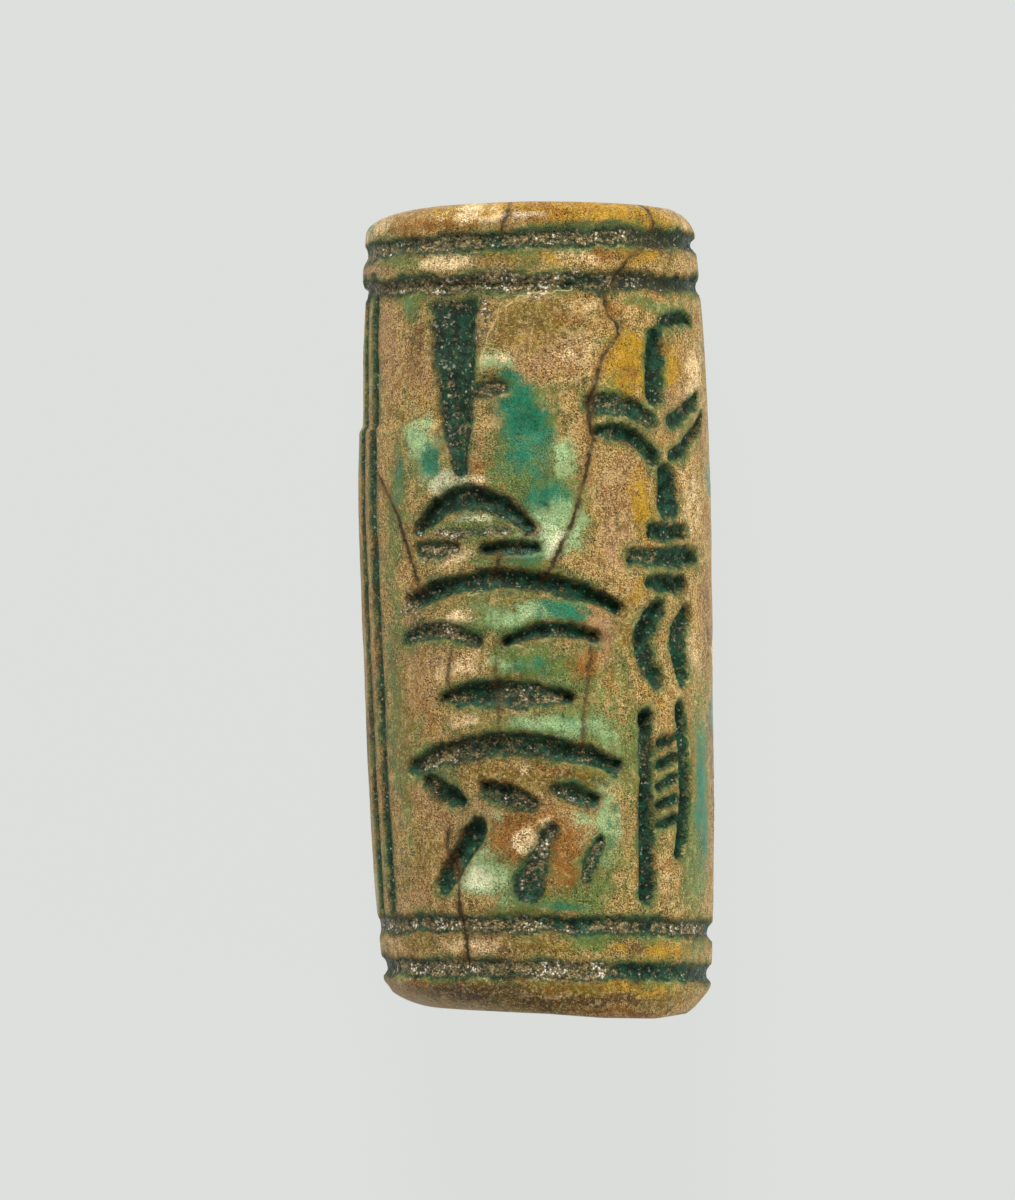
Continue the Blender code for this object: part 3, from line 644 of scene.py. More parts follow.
class Skin:
    """The outer side laid out flat: one row of places round the bead for each height."""

    def __init__(self, form):
        self.form = form
        rows = side_rows(form)
        self.angle, self.height = np.meshgrid(column_angles(form), rows[:, 1])
        self.sound = np.broadcast_to(rows[:, :1], self.angle.shape)
        self.share = field_share(form, self.height)
        self.round = np.radians(self.angle) * form.belly_radius
        turn = np.radians(self.angle)
        self.points = np.stack(
            [self.sound * np.sin(turn), self.height, self.sound * np.cos(turn)], axis=-1
        )
        self.loss = np.zeros(self.angle.shape)
        self.cut = np.full(self.angle.shape, FAR_FROM_CUT)
        self.sand = np.zeros(self.angle.shape)
        self.floor = self.noise(UNEVEN_FLOOR)
        self.crack = np.full(self.angle.shape, CRACK_REACH)
        self.crack_near = np.zeros(self.angle.shape)
        self.patches = {kind: np.zeros(self.angle.shape) for kind in PATCHES}

    def noise(self, lumps):
        return rough_noise(self.points, *lumps)

    def noises(self, several):
        """Noises side by side, which shift a place both round and along the bead."""
        return np.stack([self.noise(lumps) for lumps in several], axis=-1)


def hatching():
    """The short slanted strokes between the two long ones low in the side column."""
    strokes = []
    for place in np.linspace(*HATCH_PLACES, HATCH_COUNT):
        start, end = ((angle, place + share) for angle, share in (HATCH.start, HATCH.end))
        strokes.append(HATCH._replace(start=start, end=end))
    return strokes


def three_point(values, along):
    """A smooth value through three given at the start, the middle and the end."""
    first, middle, last = values
    bend = middle * 2 - (first + last) / 2
    return (1 - along) ** 2 * first + 2 * along * (1 - along) * bend + along**2 * last


def stroke_line(form, stroke):
    """Places along a stroke's middle line, as distances round and along the bead, and its half widths."""
    start, end = (
        np.array([math.radians(angle) * form.belly_radius, float(field_height(form, share))])
        for angle, share in (stroke.start, stroke.end)
    )
    run = end - start
    length = np.linalg.norm(run)
    square = np.array([-run[1], run[0]]) / length
    middle = (start + end) / 2 + square * stroke.rise * form.belly_radius
    along = np.linspace(0, 1, max(2, math.ceil(length / LINE_STEP)))[:, None]
    line = three_point((start, middle, end), along)
    half = three_point(stroke.widths, along[:, 0]) * form.belly_radius / 2
    return line, half


def carve(skin, edge, half, depth, sand, where=...):
    """Sinks a round-bottomed groove: edge is the distance outside its edge, negative inside it."""
    inside = np.clip((EDGE_SOFTNESS - edge) / (half + EDGE_SOFTNESS), 0.0, 1.0)
    uneven = 1 + skin.floor[where] * FLOOR_UNEVENNESS
    sunk = depth * uneven * (1 - (1 - inside) ** 3)
    skin.loss[where] = np.maximum(skin.loss[where], sunk)
    skin.cut[where] = np.minimum(skin.cut[where], edge)
    filled = sand * ramp(-edge, *SAND_EDGE)
    skin.sand[where] = np.maximum(skin.sand[where], filled)


def carve_stroke(skin, stroke, wander):
    """Sinks one stroke. Only a stroke that starts wide is cut square there, and other ends are round."""
    line, half = stroke_line(skin.form, stroke)
    margin = FAR_FROM_CUT + half.max()
    low, high = line.min(axis=0) - margin, line.max(axis=0) + margin
    place = np.stack([skin.round, skin.height], axis=-1)
    near = np.all((place > low) & (place < high), axis=-1)
    spot = place[near] + wander[near]
    away = np.linalg.norm(spot[:, None, :] - line[None, :, :], axis=-1) - half[None, :]
    nearest = away.argmin(axis=1)
    edge = away[np.arange(len(nearest)), nearest]
    if half[0] > WIDE_END:
        outward = (line[0] - line[1]) / np.linalg.norm(line[0] - line[1])
        edge = np.maximum(edge, (spot - line[0]) @ outward - SQUARE_END)
    depth = skin.form.cut_depth * stroke.depth
    carve(skin, edge, half[nearest], depth, stroke.sand, near)


def carve_strokes(skin):
    strokes = [*FRONT_COLUMN, *SIDE_COLUMN, *hatching(), *REAR_COLUMN, *FAR_COLUMN]
    wander = skin.noises(STROKE_WANDERS) * EDGE_WANDER
    for stroke in strokes:
        carve_stroke(skin, stroke, wander)


def carve_rings(skin):
    form = skin.form
    wander = skin.noise(RING_WANDER) * EDGE_WANDER
    across = (1 + np.sin(np.radians(skin.angle))) / 2
    half = form.ring_width / 2
    for ring, height in zip(RINGS, ring_heights(form)):
        off = skin.height + wander * ring.ragged - height - three_point(ring.strays, across)
        edge = np.abs(off) - half
        sand = ring.sand * (1 - SWEPT_SHARE * ramp(skin.angle, ring.clean_from, ring.clean_at))
        carve(skin, edge, half, form.ring_depth, sand)


def carve_borders(skin):
    """Sinks the two upright lines, which lean outwards towards the head."""
    form = skin.form
    wander = skin.noise(BORDER_WANDER) * EDGE_WANDER * BORDER_WANDER_SHARE
    within = ramp(skin.share, -BORDER_FADE, 0.0) * (1 - ramp(skin.share, 1.0, 1.0 + BORDER_FADE))
    half = form.border_width / 2 * BORDER_NARROWING
    for angle in BORDER_ANGLES:
        leaning = np.radians(angle - BORDER_LEAN * np.clip(skin.share, 0, 1) ** 3) * form.belly_radius
        edge = np.abs(skin.round + wander - leaning) - half
        edge = np.where(within > 0, edge, FAR_FROM_CUT)
        carve(skin, edge, half, form.border_depth * within, BORDER_SAND)


def path_distance(skin, places):
    """Distance from a broken line through (angle, share) places, and which side of it a point is on."""
    form = skin.form
    corners = np.array([
        (math.radians(angle) * form.belly_radius, float(field_height(form, share)))
        for angle, share in places
    ])
    spot = np.stack([skin.round, skin.height], axis=-1) + skin.noises(CRACK_WANDERS) * CRACK_WANDER
    best = np.full(skin.angle.shape, np.inf)
    side = np.zeros(skin.angle.shape)
    for start, end in zip(corners[:-1], corners[1:]):
        run = end - start
        along = np.clip(((spot - start) @ run) / (run @ run), 0.0, 1.0)
        off = spot - (start + along[..., None] * run)
        away = np.linalg.norm(off, axis=-1)
        closer = away < best
        best = np.where(closer, away, best)
        turn = run[0] * off[..., 1] - run[1] * off[..., 0]
        side = np.where(closer, np.where(turn < 0, -1.0, 1.0), side)
    return best, side


def open_cracks(skin):
    """Dents the skin along each crack, and keeps how far away the strongest crack nearby is."""
    for crack in CRACKS:
        away, side = path_distance(skin, crack.places)
        near = crack.strength * (1 - ramp(away, CRACK_REACH / 2, CRACK_REACH))
        closer = near > skin.crack_near
        skin.crack = np.where(closer, away * side, skin.crack)
        skin.crack_near = np.maximum(skin.crack_near, near)
        skin.loss += CRACK_DENT * crack.strength * np.exp(-((away / CRACK_HALF_WIDTH) ** 2))


def flake_off(skin):
    """Takes off the thin layer that is lost beside the border lines, with a ragged edge."""
    form = skin.form
    ragged = skin.noise(FLAKE_WANDER)
    angles, shares = zip(*FLAKE_EDGE[::-1])
    edge_angle = np.interp(skin.share, shares, angles)
    soft = math.degrees(FLAKE_SOFTNESS / form.belly_radius)
    turned = skin.angle + ragged * FLAKE_WANDER_ANGLE
    across = ramp(skin.angle, FLAKE_BACK, FLAKE_BACK + FLAKE_BACK_FADE)
    across = across * (1 - ramp(turned, edge_angle - soft, edge_angle + soft))
    foot = FLAKE_FOOT_SHARE + ragged * FLAKE_WANDER_SHARE
    along = ramp(skin.share, foot - FLAKE_FOOT_FADE, foot + FLAKE_FOOT_FADE) * (skin.share < 1.0)
    skin.loss += form.flake_depth * across * along
    skin.lost = across * along
    started, raised, ended = PALE_EDGE
    skin.lost_edge = ramp(skin.angle, *started) * ramp(skin.share, *raised) * ramp(skin.share, *ended)


def wear(skin):
    """Unevenness, pits and worn lips of the whole skin, and the sand that stands in the grooves."""
    lips = np.where(skin.cut > 0, np.exp(-((skin.cut / LIP_REACH) ** 2)), 0.0)
    skin.loss += lips * LIP_WEAR + skin.noise(SWELLS) * SWELL_HEIGHT + skin.noise(RIPPLES) * RIPPLE_HEIGHT
    skin.loss += ramp(skin.noise(PITS), *PIT_RANGE) * PIT_DEPTH
    heaps = HEAP_LEVEL + HEAP_RISE * skin.noise(HEAPS) + SMALL_HEAP_RISE * skin.noise(SMALL_HEAPS)
    filling = np.clip(skin.sand * heaps, 0.0, 1.0)
    crust = skin.patches["crust"] * (CRUST_LEVEL + CRUST_RISE * skin.noise(CRUST_LUMPS))
    skin.sand = np.maximum(filling, crust)
    skin.loss -= np.where(skin.cut < 0, SAND_FILL * skin.loss * skin.sand, 0.0)
    skin.loss += skin.sand * skin.form.grit * skin.noise(SAND_GRAINS) * GRIT_RISE


def random_patches():
    """Plain patches for the sides that the camera doesn't see, each with its kind."""
    random = np.random.default_rng(HIDDEN_SEED)
    patches = []
    for number in range(HIDDEN_PATCHES):
        angle = random.uniform(*HIDDEN_ANGLES)
        size = random.uniform(*HIDDEN_ROUND), random.uniform(*HIDDEN_ALONG)
        kind = HIDDEN_KINDS[number % len(HIDDEN_KINDS)]
        place = (angle + 180) % 360 - 180, random.uniform(*HIDDEN_SHARES)
        patches.append((kind, Patch(*place, *size, random.uniform(*HIDDEN_STRENGTHS))))
    return patches


def lay_patches(skin):
    """Spreads each patch of glaze, stain or crust over the skin, with soft broken edges."""
    warp_round, warp_along = (skin.noise(lumps) for lumps in PATCH_WANDERS)
    angle = skin.angle + warp_round * PATCH_WANDER_ANGLE
    share = skin.share + warp_along * PATCH_WANDER_SHARE
    shown = [(kind, Patch(*spot)) for kind, spots in PATCHES.items() for spot in spots]
    for kind, patch in [*shown, *random_patches()]:
        off = (angle - patch.angle + 180) % 360 - 180
        reach = (off / patch.round_by) ** 2 + ((share - patch.share) / patch.along_by) ** 2
        cover = patch.strength * np.exp(-reach * PATCH_EDGE)
        skin.patches[kind] = 1 - (1 - skin.patches[kind]) * (1 - cover)


def outer_radius(skin):
    """The worn and carved radius, with the flat taken off underneath."""
    form = skin.form
    radius = skin.sound - end_wear(form, skin.angle, skin.height) - skin.loss
    down = -np.cos(np.radians(skin.angle))
    axis_height = form.belly_radius - form.flat_depth
    reach = np.where(down > NEARLY_DOWN, axis_height / np.maximum(down, NEARLY_DOWN), np.inf)
    return np.minimum(radius, reach)


def inner_rows(form, outer_edge, sign):
    """(radius, height) rows across an end face and into the bore, from the outer edge inwards."""
    half = form.length / 2
    mouth = form.bore_radius + MOUTH_FLARE
    rows = []
    for step in range(1, FACE_ROWS + 1):
        share = step / FACE_ROWS
        rows.append((outer_edge * (1 - share) + mouth * share, sign * half))
    for step in range(1, MOUTH_ROWS + 1):
        share = step / MOUTH_ROWS
        radius = np.full_like(outer_edge, mouth - MOUTH_FLARE * math.sin(share * math.pi / 2))
        rows.append((radius, sign * (half - MOUTH_DEPTH * share)))
    return rows


def bore_rows(form, columns):
    """(radius, height) rows down the bore, from just under the head's mouth."""
    top = form.length / 2 - MOUTH_DEPTH
    heights = np.linspace(top, -top, BORE_ROWS + 2)[1:-1]
    return [(np.full(columns, form.bore_radius), height) for height in heights]


def closed_rows(skin):
    """Radius and height of every row of the closed body: up the outside and down the bore."""
    radius = outer_radius(skin)
    head = inner_rows(skin.form, radius[-1], 1)
    foot = inner_rows(skin.form, radius[0], -1)[::-1]
    inner = [*head, *bore_rows(skin.form, radius.shape[1]), *foot]
    radii = np.concatenate([radius, np.array([row for row, _ in inner])])
    heights = np.concatenate([skin.height, np.array([np.full(radius.shape[1], h) for _, h in inner])])
    return radii, heights


def end_strays(form, heights, across):
    """How far the skin near each end is shifted along the bead."""
    outside = ramp(np.abs(heights), form.length / 2 - EDGE_REACH, form.length / 2)
    head = np.interp(across, EDGE_PLACES, HEAD_EDGE)
    foot = np.interp(across, EDGE_PLACES, FOOT_EDGE)
    return outside * np.where(heights > 0, head, foot)


def lay_out(form, radii, heights, angles):
    """Points of the lying bead, in the shared frame."""
    turn = np.radians(angles)[None, :]
    heights = heights + end_strays(form, heights, radii / form.belly_radius * np.sin(turn))
    x = axis_offset(form, heights) + radii * np.sin(turn)
    z = form.belly_radius - form.flat_depth + radii * np.cos(turn)
    return np.stack([x, heights, np.maximum(z, 0.0)], axis=-1)


def grid_faces(rows, columns):
    """Quads of a grid that closes on itself both ways."""
    row, column = np.meshgrid(np.arange(rows), np.arange(columns), indexing="ij")
    next_row, next_column = (row + 1) % rows, (column + 1) % columns
    corners = [(row, column), (next_row, column), (next_row, next_column), (row, next_column)]
    return np.stack([(r * columns + c).ravel() for r, c in corners], axis=-1)


def padded_layer(layer, rows, inner):
    """A layer of the outer side, which fades to one value across the ends and keeps it in the bore."""
    from_head = np.arange(1, rows - layer.shape[0] + 1)[:, None] / FACE_ROWS
    head, foot = (np.clip(1 - away, 0.0, 1.0) for away in (from_head, from_head[::-1]))
    return np.concatenate([layer, head * layer[-1] + foot * layer[0] + (1 - head - foot) * inner])


def surface_layers(skin, rows):
    """What the finish reads at each point of the mesh. Distances are in millimetres."""
    layers = {
        "cut": skin.cut / MM, "sand": skin.sand, "crack": skin.crack / MM, "crack_near": skin.crack_near,
        "lost": skin.lost, "lost_edge": skin.lost_edge, **skin.patches,
    }
    return {name: padded_layer(layer, rows, INNER_LAYERS.get(name, 0.0)) for name, layer in layers.items()}


def mesh_with_layers(name, points, faces, layers):
    mesh = bpy.data.meshes.new(name)
    mesh.from_pydata(points.reshape(-1, 3).tolist(), [], faces.tolist())
    for layer, values in layers.items():
        attribute = mesh.attributes.new(layer, "FLOAT", "POINT")
        attribute.data.foreach_set("value", values.ravel().astype(np.float32))
    mesh.shade_smooth()
    mesh.update()
    return mesh


def carved_skin(form):
    skin = Skin(form)
    lay_patches(skin)
    carve_strokes(skin)
    carve_borders(skin)
    carve_rings(skin)
    open_cracks(skin)
    wear(skin)
    flake_off(skin)
    return skin


class Link:
    """A socket of a finish, so that its maths reads as Python."""

    def __init__(self, finish, socket):
        self.finish = finish
        self.socket = socket

    def maths(self, operation, *others):
        return self.finish.maths(operation, self, *others)

    def __add__(self, other):
        return self.maths("ADD", other)

    def __sub__(self, other):
        return self.maths("SUBTRACT", other)

    def __rsub__(self, other):
        return self.finish.maths("SUBTRACT", other, self)

    def __mul__(self, other):
        return self.maths("MULTIPLY", other)

    __radd__ = __add__
    __rmul__ = __mul__


class Finish:
    """A material that is built up node by node."""

    def __init__(self, name, colours=None):
        self.material = bpy.data.materials.new(name)
        self.material.use_nodes = True
        self.tree = self.material.node_tree
        self.colours = colours

    def connect(self, socket, value):
        if isinstance(value, Link):
            self.tree.links.new(value.socket, socket)
        elif isinstance(value, (tuple, list)) and len(socket.default_value) > len(value):
            socket.default_value = (*value, 1.0)
        else:
            socket.default_value = value

    def shine(self, sockets):
        """Sets or links sockets of the material's own shader."""
        shader = self.tree.nodes["Principled BSDF"]
        for socket, value in sockets.items():
            self.connect(shader.inputs[socket], value)

    def node(self, kind, settings, sockets, output=0):
        """Any node: its type, its settings, the values or links of its sockets and the output to use."""
        made = self.tree.nodes.new(kind)
        for name, value in settings.items():
            if name == "stops":
                self.fill_ramp(made.color_ramp, value)
            else:
                setattr(made, name, value)
        for socket, value in sockets.items():
            self.connect(made.inputs[socket], value)
        return Link(self, made.outputs[output])

    def fill_ramp(self, colour_ramp, stops):
        while len(colour_ramp.elements) < len(stops):
            colour_ramp.elements.new(1.0)
        for element, (place, colour) in zip(colour_ramp.elements, stops):
            element.position = place
            element.color = (*colour, 1.0)

    def maths(self, operation, *values):
        return self.node("ShaderNodeMath", {"operation": operation}, dict(enumerate(values)))

    def clamped(self, value):
        return self.node("ShaderNodeClamp", {}, {"Value": value})

    def step(self, value, start, full):
        """0 up to the start, 1 from the full value on, and a smooth rise or fall between them."""
        sockets = {"Value": value, "From Min": start, "From Max": full}
        return self.node("ShaderNodeMapRange", {"interpolation_type": "SMOOTHSTEP"}, sockets)

    def mix(self, share, under, over):
        return self.node("ShaderNodeMix", {"data_type": "RGBA"}, {0: share, 6: under, 7: over}, 2)

    def paint(self, name, shade=None):
        """One of the colours as it is, or made brighter or darker by a value."""
        colour = tuple(getattr(self.colours, name))
        if shade is None:
            return colour
        return self.node("ShaderNodeVectorMath", {"operation": "SCALE"}, {0: colour, "Scale": shade})

    def blend(self, low, high, share):
        """A plain colour between two others, worked out in Python."""
        return tuple(a * (1 - share) + b * share for a, b in zip(self.paint(low), self.paint(high)))

    @cache
    def layer(self, name):
        return self.node("ShaderNodeAttribute", {"attribute_name": name}, {}, "Fac")

    @cache
    def place(self, stretch=(1, 1, 1)):
        here = self.node("ShaderNodeTexCoord", {}, {}, "Object")
        return self.node("ShaderNodeVectorMath", {"operation": "MULTIPLY"}, {0: here, 1: stretch})

    @cache
    def noise(self, name):
        """One of the noises, from 0 to 1 with most values near the middle."""
        lumps = NOISES[name]
        sockets = {"Scale": 1 / lumps.size, "Detail": lumps.detail, "Roughness": lumps.roughness}
        return self.node("ShaderNodeTexNoise", {}, {"Vector": self.place(lumps.stretch), **sockets})

    def sway(self, name):
        """How far one of the noises is above or below its middle."""
        return self.noise(name) - 0.5

    def grains(self, size):
        """Two values for each grain of about this size, and how far a place is from its grain's middle."""
        sockets = {"Vector": self.place(), "Scale": 1 / size}
        own = self.node("ShaderNodeTexVoronoi", {}, sockets, "Color")
        middle = self.node("ShaderNodeTexVoronoi", {}, sockets, "Distance")
        red = self.node("ShaderNodeSeparateColor", {}, {"Color": own}, "Red")
        green = self.node("ShaderNodeSeparateColor", {}, {"Color": own}, "Green")
        return red, green, middle

    def tinted(self, colour, tints, places, areas, grain):
        """A colour with tints laid over it, one after another."""
        for tint in tints:
            cover = self.step(places[tint.noise], tint.start, tint.full) * areas[tint.area] * tint.strength
            shade = grain * tint.gain + tint.lift if tint.gain else tint.lift
            colour = self.mix(cover, colour, self.paint(tint.colour, shade))
        return colour


def ground_colour(finish, calm):
    """The bare worn ground, and how light each grain is. It is smoother where glaze covers it."""
    stain, broad, cloud = (finish.noise(name) for name in ("stain", "broad", "cloud"))
    contrast = finish.step(broad, 0.42, 0.60) * 3.4 + 2.6
    rough = finish.sway("grain") * contrast + finish.sway("streak")
    tone = rough * (1 - calm * 0.35) + finish.sway("stain") * 0.75 + finish.sway("broad") * 0.6 + 0.5
    stops = (
        (0.16, finish.paint("umber")), (0.36, finish.blend("umber", "tan", 0.6)),
        (0.50, finish.paint("tan")), (0.66, finish.blend("tan", "cream", 0.5)),
        (0.86, finish.paint("cream")),
    )
    colour = finish.node("ShaderNodeValToRGB", {"stops": stops}, {"Fac": tone})
    places = {"stain": stain, "broad": broad, "cloud": cloud, "damp": stain + cloud}
    return finish.tinted(colour, GROUND_TINTS, places, {"all": 1.0}, tone), tone


def glaze_over(finish, colour, tone):
    """Stains and patches of glaze over the ground, broken along their edges and mottled."""
    broken = finish.sway("broken") * 2.0
    shade = tone * 1.2 + finish.noise("depth") * 1.1 - 0.11
    for kind in GLAZE_KINDS:
        amount = finish.layer(kind)
        ragged = amount + broken * finish.step(amount, 0.0, 0.45)
        cover = finish.step(ragged, 0.12, 0.74) * 0.98
        colour = finish.mix(cover, colour, finish.paint(kind, shade))
        broken = broken * -1.0
    return colour


def flecks_over(finish, colour, calm):
    """Small rusty spots and dark pits all over, and pale chips where the ground is bare."""
    places = {name: finish.noise(name) for name in ("mottle", "spots", "pits")}
    areas = {
        "all": 1.0, "bare": 1 - calm * 0.75, "thin": 1 - calm * 0.50, "open": 1 - calm * 0.85,
        "olive": finish.layer("olive"),
    }
    return finish.tinted(colour, FLECKS, places, areas, places["spots"])


def worn_glaze(finish, glassy):
    """The ground with its glaze, stains and flecks, and how light each grain is."""
    teal = finish.layer("teal")
    ground, tone = ground_colour(finish, glassy + teal * 0.7)
    glazed = glaze_over(finish, ground, tone)
    calm = finish.clamped(glassy + finish.layer("mustard") + finish.layer("rust") * 0.5)
    return finish.mix(teal * 0.5, flecks_over(finish, glazed, calm), glazed), tone


def groove_glaze_and_painted_light(finish, colour, tone, edge):
    """Dark glaze spilt beside the cuts, rust and green that creep out of them, a pale painted highlight on
    their lips, and the glaze pooled inside, darkened partly as painted shade in the grooves.
    """
    spilt = finish.step(edge, 0.24, 0.02) * finish.step(finish.noise("scatter"), 0.53, 0.60) * 0.4
    colour = finish.mix(spilt, colour, finish.paint("halo"))
    creep = finish.noise("creep")
    patchy = finish.step(finish.noise("patchy"), 0.40, 0.58)
    burnt = finish.step(edge, 0.20, 0.04) * (1 - patchy) * creep * 1.3
    colour = finish.mix(burnt, colour, finish.paint("rust", tone + 0.1))
    reach = finish.step(edge - creep * 0.36, 0.16, -0.16) * (0.10 + patchy * 0.7)
    colour = finish.mix(reach, colour, finish.paint("green", tone * 0.9 + 0.45))
    # Painted highlight: pale cream on the lips just outside the cuts, standing in for the light that the
    # lips catch
    worn = finish.step(edge, 0.13, 0.08) * finish.step(edge, 0.01, 0.05) * finish.step(creep, 0.52, 0.70)
    colour = finish.mix(worn * 0.5, colour, finish.paint("cream"))
    rim = finish.step(edge - (tone - 0.5) * 0.16, 0.03 + patchy * 0.08, -0.05)
    colour = finish.mix(rim, colour, finish.paint("halo", tone + 0.5))
    # Inside the cuts: pooled glaze, partly real and partly darkened as painted shade of the grooves
    clean = finish.step(finish.noise("clean"), 0.42, 0.60)
    pooled = finish.mix(clean, finish.paint("deep"), finish.paint("pooled"))
    pooled = finish.mix(finish.layer("brown"), pooled, finish.blend("umber", "deep", 0.5))
    return finish.mix(finish.step(edge - (tone - 0.5) * 0.10, 0.02, -0.06), colour, pooled)


def sand_colour(finish, own, hue, middle):
    """Grains from nearly black to tan with dark gaps, and a few white ones that are partly pale grains and
    partly painted glints.
    """
    crust, heap, dark = finish.layer("crust"), finish.sway("heap"), finish.paint("deep")
    warm = finish.blend("rust", "cream", 0.5)
    warm = finish.mix(finish.step(hue, 0.35, 0.9), finish.paint("sand"), warm)
    stops = tuple((value, (light,) * 3) for value, light in GRAIN_LIGHT)
    lightness = own * 0.75 + heap * 3.0 + crust * 0.12 + 0.10
    light = finish.node("ShaderNodeValToRGB", {"stops": stops}, {"Fac": lightness})
    # Where this is high a grain is painted near white, a painted glint as if it caught the light
    glint_share = own + heap * 1.4 + finish.sway("cluster") * 2.4 + crust * 0.18
    grain = finish.mix(light, dark, warm)
    grain = finish.mix(finish.step(glint_share, 1.02, 1.16), grain, finish.paint("painted_glint"))
    return finish.mix(finish.step(middle, 0.80, 0.30) * 0.55 + 0.45, dark, grain)


def sand_cover(finish, own, edge, within):
    """How much of a place is sand: the grooves' bottoms, the crusts, and single grains in the grooves."""
    bottom = finish.step(edge, -0.02, -0.10) * (finish.step(edge, -0.36, -0.24) * 0.7 + 0.3)
    sandy = finish.step(finish.layer("sand") * 0.95 + finish.sway("scatter") * 2.2, 0.28, 0.62)
    sandy = sandy * finish.maths("MAXIMUM", bottom, finish.step(finish.layer("crust"), 0.05, 0.4))
    return finish.maths("MAXIMUM", sandy, finish.step(own, 0.88, 0.94) * within * 0.35)


def flake_edge(finish, colour):
    """The pale broken edge of the lost layer."""
    rim = finish.step(finish.maths("ABSOLUTE", finish.layer("lost") - 0.40), 0.40, 0.05)
    rim = rim * finish.step(finish.noise("scatter"), 0.38, 0.50) * finish.layer("lost_edge")
    return finish.mix(rim * 0.7, colour, finish.paint("cream"))


def crack_lines(finish, colour, ragged, own):
    """Fine broken lines with a few grains in them and brown along them, and how deep they are."""
    line = finish.maths("ABSOLUTE", finish.layer("crack") + ragged * 0.35)
    line = line + (finish.noise("scatter") - 0.56) * 0.16
    near = finish.step(finish.layer("crack_near"), 0.05, 0.70)
    near = near * (finish.step(finish.noise("gaps"), 0.36, 0.52) * 0.5 + 0.5)
    browned = finish.step(line, 0.20, 0.04) * near * 0.65
    colour = finish.mix(browned, colour, finish.blend("brown", "rust", 0.45))
    crack = finish.step(line, 0.058, 0.018) * near
    gritty = finish.mix(own * own * 0.22, finish.blend("umber", "deep", 0.75), finish.paint("rust"))
    return finish.mix(crack * 0.95, colour, gritty), crack


def glazed_stone(colours):
    """The whole bead's finish: ground, glaze, cuts, sand and cracks, with its gloss and fine relief,
    painted shade in the cuts, a painted highlight on their lips and painted glints in the sand.
    """
    finish = Finish("glazed_stone", colours)
    ragged = finish.sway("ragged") * 0.30
    edge = finish.layer("cut") + ragged + finish.sway("uneven") * 0.26
    within = finish.step(edge, 0.03, -0.05)
    glassy = finish.clamped(finish.layer("mint") + finish.layer("teal") + finish.layer("green") * 0.6)
    colour, tone = worn_glaze(finish, glassy)
    colour = groove_glaze_and_painted_light(finish, colour, tone, edge)
    own, hue, middle = finish.grains(SAND_GRAIN)
    sandy = sand_cover(finish, own, edge, within)
    colour = finish.mix(sandy * 0.95, colour, sand_colour(finish, own, hue, middle))
    colour, crack = crack_lines(finish, flake_edge(finish, colour), ragged, own)
    lip = finish.step(edge, 0.22, 0.05) * 0.16
    rough = 0.50 - glassy * 0.16 + (tone - 0.5) * 0.3 + lip - within * 0.24
    yellowed = finish.layer("mustard") + finish.layer("olive")
    gloss = (glassy * 0.22 + yellowed * 0.26) * finish.step(edge, 0.10, 0.25)
    relief = tone * (1 - glassy * 0.45) * 0.6 + sandy * (0.9 - middle) * 1.9
    relief = relief - crack * 1.2 - within * finish.noise("scatter") * 2.0
    sockets = {"Height": relief, "Strength": 1.0, "Distance": RELIEF}
    finish.shine({
        "Base Color": colour,
        "Roughness": finish.clamped(rough),
        "Specular IOR Level": STONE_GLOSS,
        "Coat Weight": finish.clamped(gloss),
        "Coat Roughness": COAT_ROUGHNESS,
        "Normal": finish.node("ShaderNodeBump", {}, sockets, "Normal"),
    })
    return finish.material


def new_piece(name, mesh, material):
    piece = bpy.data.objects.new(name, mesh)
    bpy.context.scene.collection.objects.link(piece)
    mesh.materials.append(material)
    return piece


class BEAD_OT_body(Operator):
    """Make the carved and glazed body round the CAD node"""

    bl_idname = "bead.body"
    bl_label = "Body"

    def execute(self, context):
        form = context.scene.bead_form
        skin = carved_skin(form)
        radii, heights = closed_rows(skin)
        points = lay_out(form, radii, heights, skin.angle[0])
        rows, columns = radii.shape
        layers = surface_layers(skin, rows)
        mesh = mesh_with_layers("carved_bead", points, grid_faces(rows, columns), layers)
        body = new_piece("carved_bead", mesh, glazed_stone(context.scene.bead_colours))
        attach(body, "root")
        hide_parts("cylinder_bead")
        return {"FINISHED"}


def plain_floor(studio):
    """A large pale floor that gives off most of its own light, so that shadows on it stay faint."""
    finish = Finish("pale_floor")
    finish.shine({
        "Base Color": (FLOOR_SHADE,) * 3,
        "Roughness": 1.0,
        "Specular IOR Level": 0.0,
        "Emission Color": tuple(studio.floor),
        "Emission Strength": FLOOR_GLOW,
    })
    corners = [(x * FLOOR_REACH, y * FLOOR_REACH, 0) for x, y in ((-1, -1), (1, -1), (1, 1), (-1, 1))]
    mesh = bpy.data.meshes.new("floor")
    mesh.from_pydata(corners, [], [(0, 1, 2, 3)])
    floor = new_piece("floor", mesh, finish.material)


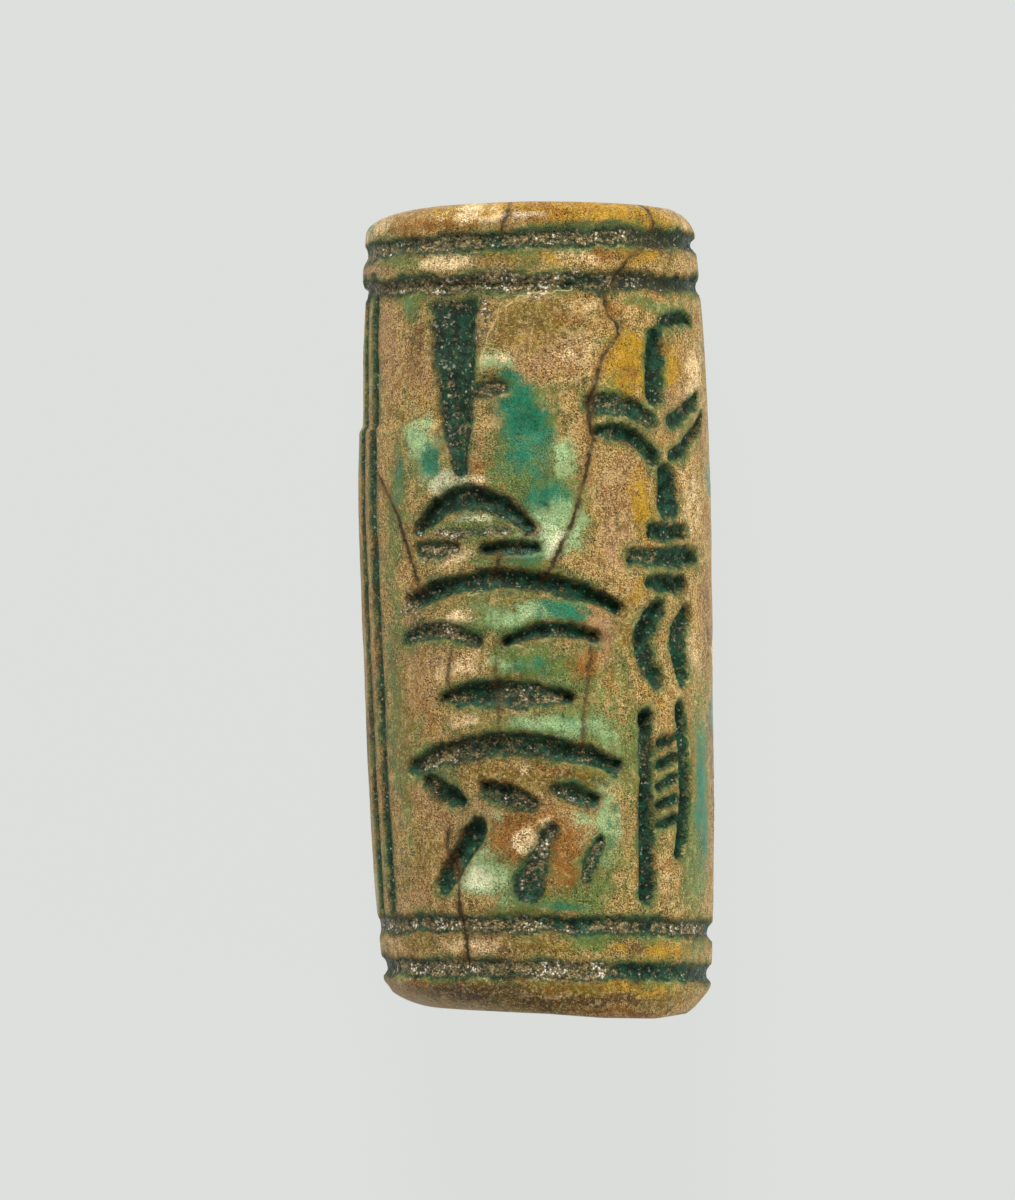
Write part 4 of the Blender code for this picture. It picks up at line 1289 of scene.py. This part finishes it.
def pale_surroundings(studio):
    """Pale walls all round and a dim ceiling, so that the top of the bead reflects little."""
    world = bpy.data.worlds.new("pale_surroundings")
    world.use_nodes = True
    tree = world.node_tree
    background = tree.nodes["Background"]
    background.inputs["Color"].default_value = (*studio.floor, 1.0)
    direction = tree.nodes.new("ShaderNodeTexCoord")
    upward = tree.nodes.new("ShaderNodeSeparateXYZ")
    dimming = tree.nodes.new("ShaderNodeMapRange")
    dimming.inputs["From Min"].default_value = WALL_TOP
    dimming.inputs["From Max"].default_value = CEILING_EDGE
    dimming.inputs["To Min"].default_value = 1.0
    dimming.inputs["To Max"].default_value = studio.ceiling
    tree.links.new(direction.outputs["Generated"], upward.inputs[0])
    tree.links.new(upward.outputs["Z"], dimming.inputs["Value"])
    tree.links.new(dimming.outputs["Result"], background.inputs["Strength"])
    bpy.context.scene.world = world


def soft_light(name, place, size, power):
    """A square area light that faces the bead."""
    light = bpy.data.lights.new(name, "AREA")
    light.shape = "SQUARE"
    light.size = size
    light.energy = power
    holder = bpy.data.objects.new(name, light)
    bpy.context.scene.collection.objects.link(holder)
    holder.location = place
    holder.rotation_euler = (-Vector(place)).to_track_quat("-Z", "Y").to_euler()
    return holder


def overhead_camera(studio, form):
    """A long lens almost straight above the lying bead, framed as the photograph is."""
    lens = bpy.data.cameras.new("camera")
    lens.sensor_width = SENSOR_WIDTH
    lens.lens = SENSOR_WIDTH * studio.distance / VIEW_WIDTH
    lens.clip_start, lens.clip_end = CLIP_RANGE
    camera = bpy.data.objects.new("camera", lens)
    bpy.context.scene.collection.objects.link(camera)
    target = Vector((*VIEW_MIDDLE, form.belly_radius - form.flat_depth))
    lean = Matrix.Rotation(studio.tilt, 4, "X") @ Matrix.Rotation(studio.roll, 4, "Z")
    back = Matrix.Translation((0, 0, studio.distance))
    camera.matrix_world = Matrix.Translation(target) @ lean @ back
    bpy.context.scene.camera = camera


class BEAD_OT_studio(Operator):
    """Set the floor, the lights and the camera"""

    bl_idname = "bead.studio"
    bl_label = "Studio"

    def execute(self, context):
        studio = context.scene.bead_studio
        plain_floor(studio)
        pale_surroundings(studio)
        soft_light("key", KEY_PLACE, KEY_SIZE, studio.key)
        for name, side, power in (("fill", 1, studio.fill), ("left_fill", -1, studio.left_fill)):
            place = (side * FILL_PLACE[0], *FILL_PLACE[1:])
            soft_light(name, place, FILL_SIZE, power).visible_glossy = False
        overhead_camera(studio, context.scene.bead_form)
        context.scene.view_settings.view_transform = "Standard"
        return {"FINISHED"}


class BEAD_PT_panel(Panel):
    """Lists the bead's steps in the sidebar"""

    bl_idname = "BEAD_PT_panel"
    bl_label = "Bead"
    bl_space_type = "VIEW_3D"
    bl_region_type = "UI"
    bl_category = "Bead"

    def draw(self, context):
        column = self.layout.column()
        column.operator(BEAD_OT_body.bl_idname)
        column.operator(BEAD_OT_studio.bl_idname)
        for group in (context.scene.bead_form, context.scene.bead_colours, context.scene.bead_studio):
            for name in group.bl_rna.properties.keys():
                if name not in ("rna_type", "name"):
                    column.prop(group, name)


CLASSES = (BeadForm, GlazeColours, Studio, BEAD_OT_body, BEAD_OT_studio, BEAD_PT_panel)


def register():
    for kind in CLASSES:
        bpy.utils.register_class(kind)
    bpy.types.Scene.bead_form = PointerProperty(type=BeadForm)
    bpy.types.Scene.bead_colours = PointerProperty(type=GlazeColours)
    bpy.types.Scene.bead_studio = PointerProperty(type=Studio)


def unregister():
    del bpy.types.Scene.bead_form
    del bpy.types.Scene.bead_colours
    del bpy.types.Scene.bead_studio
    for kind in reversed(CLASSES):
        bpy.utils.unregister_class(kind)


def main():
    register()
    bpy.ops.bead.body()
    bpy.ops.bead.studio()


if __name__ == "__main__":
    main()
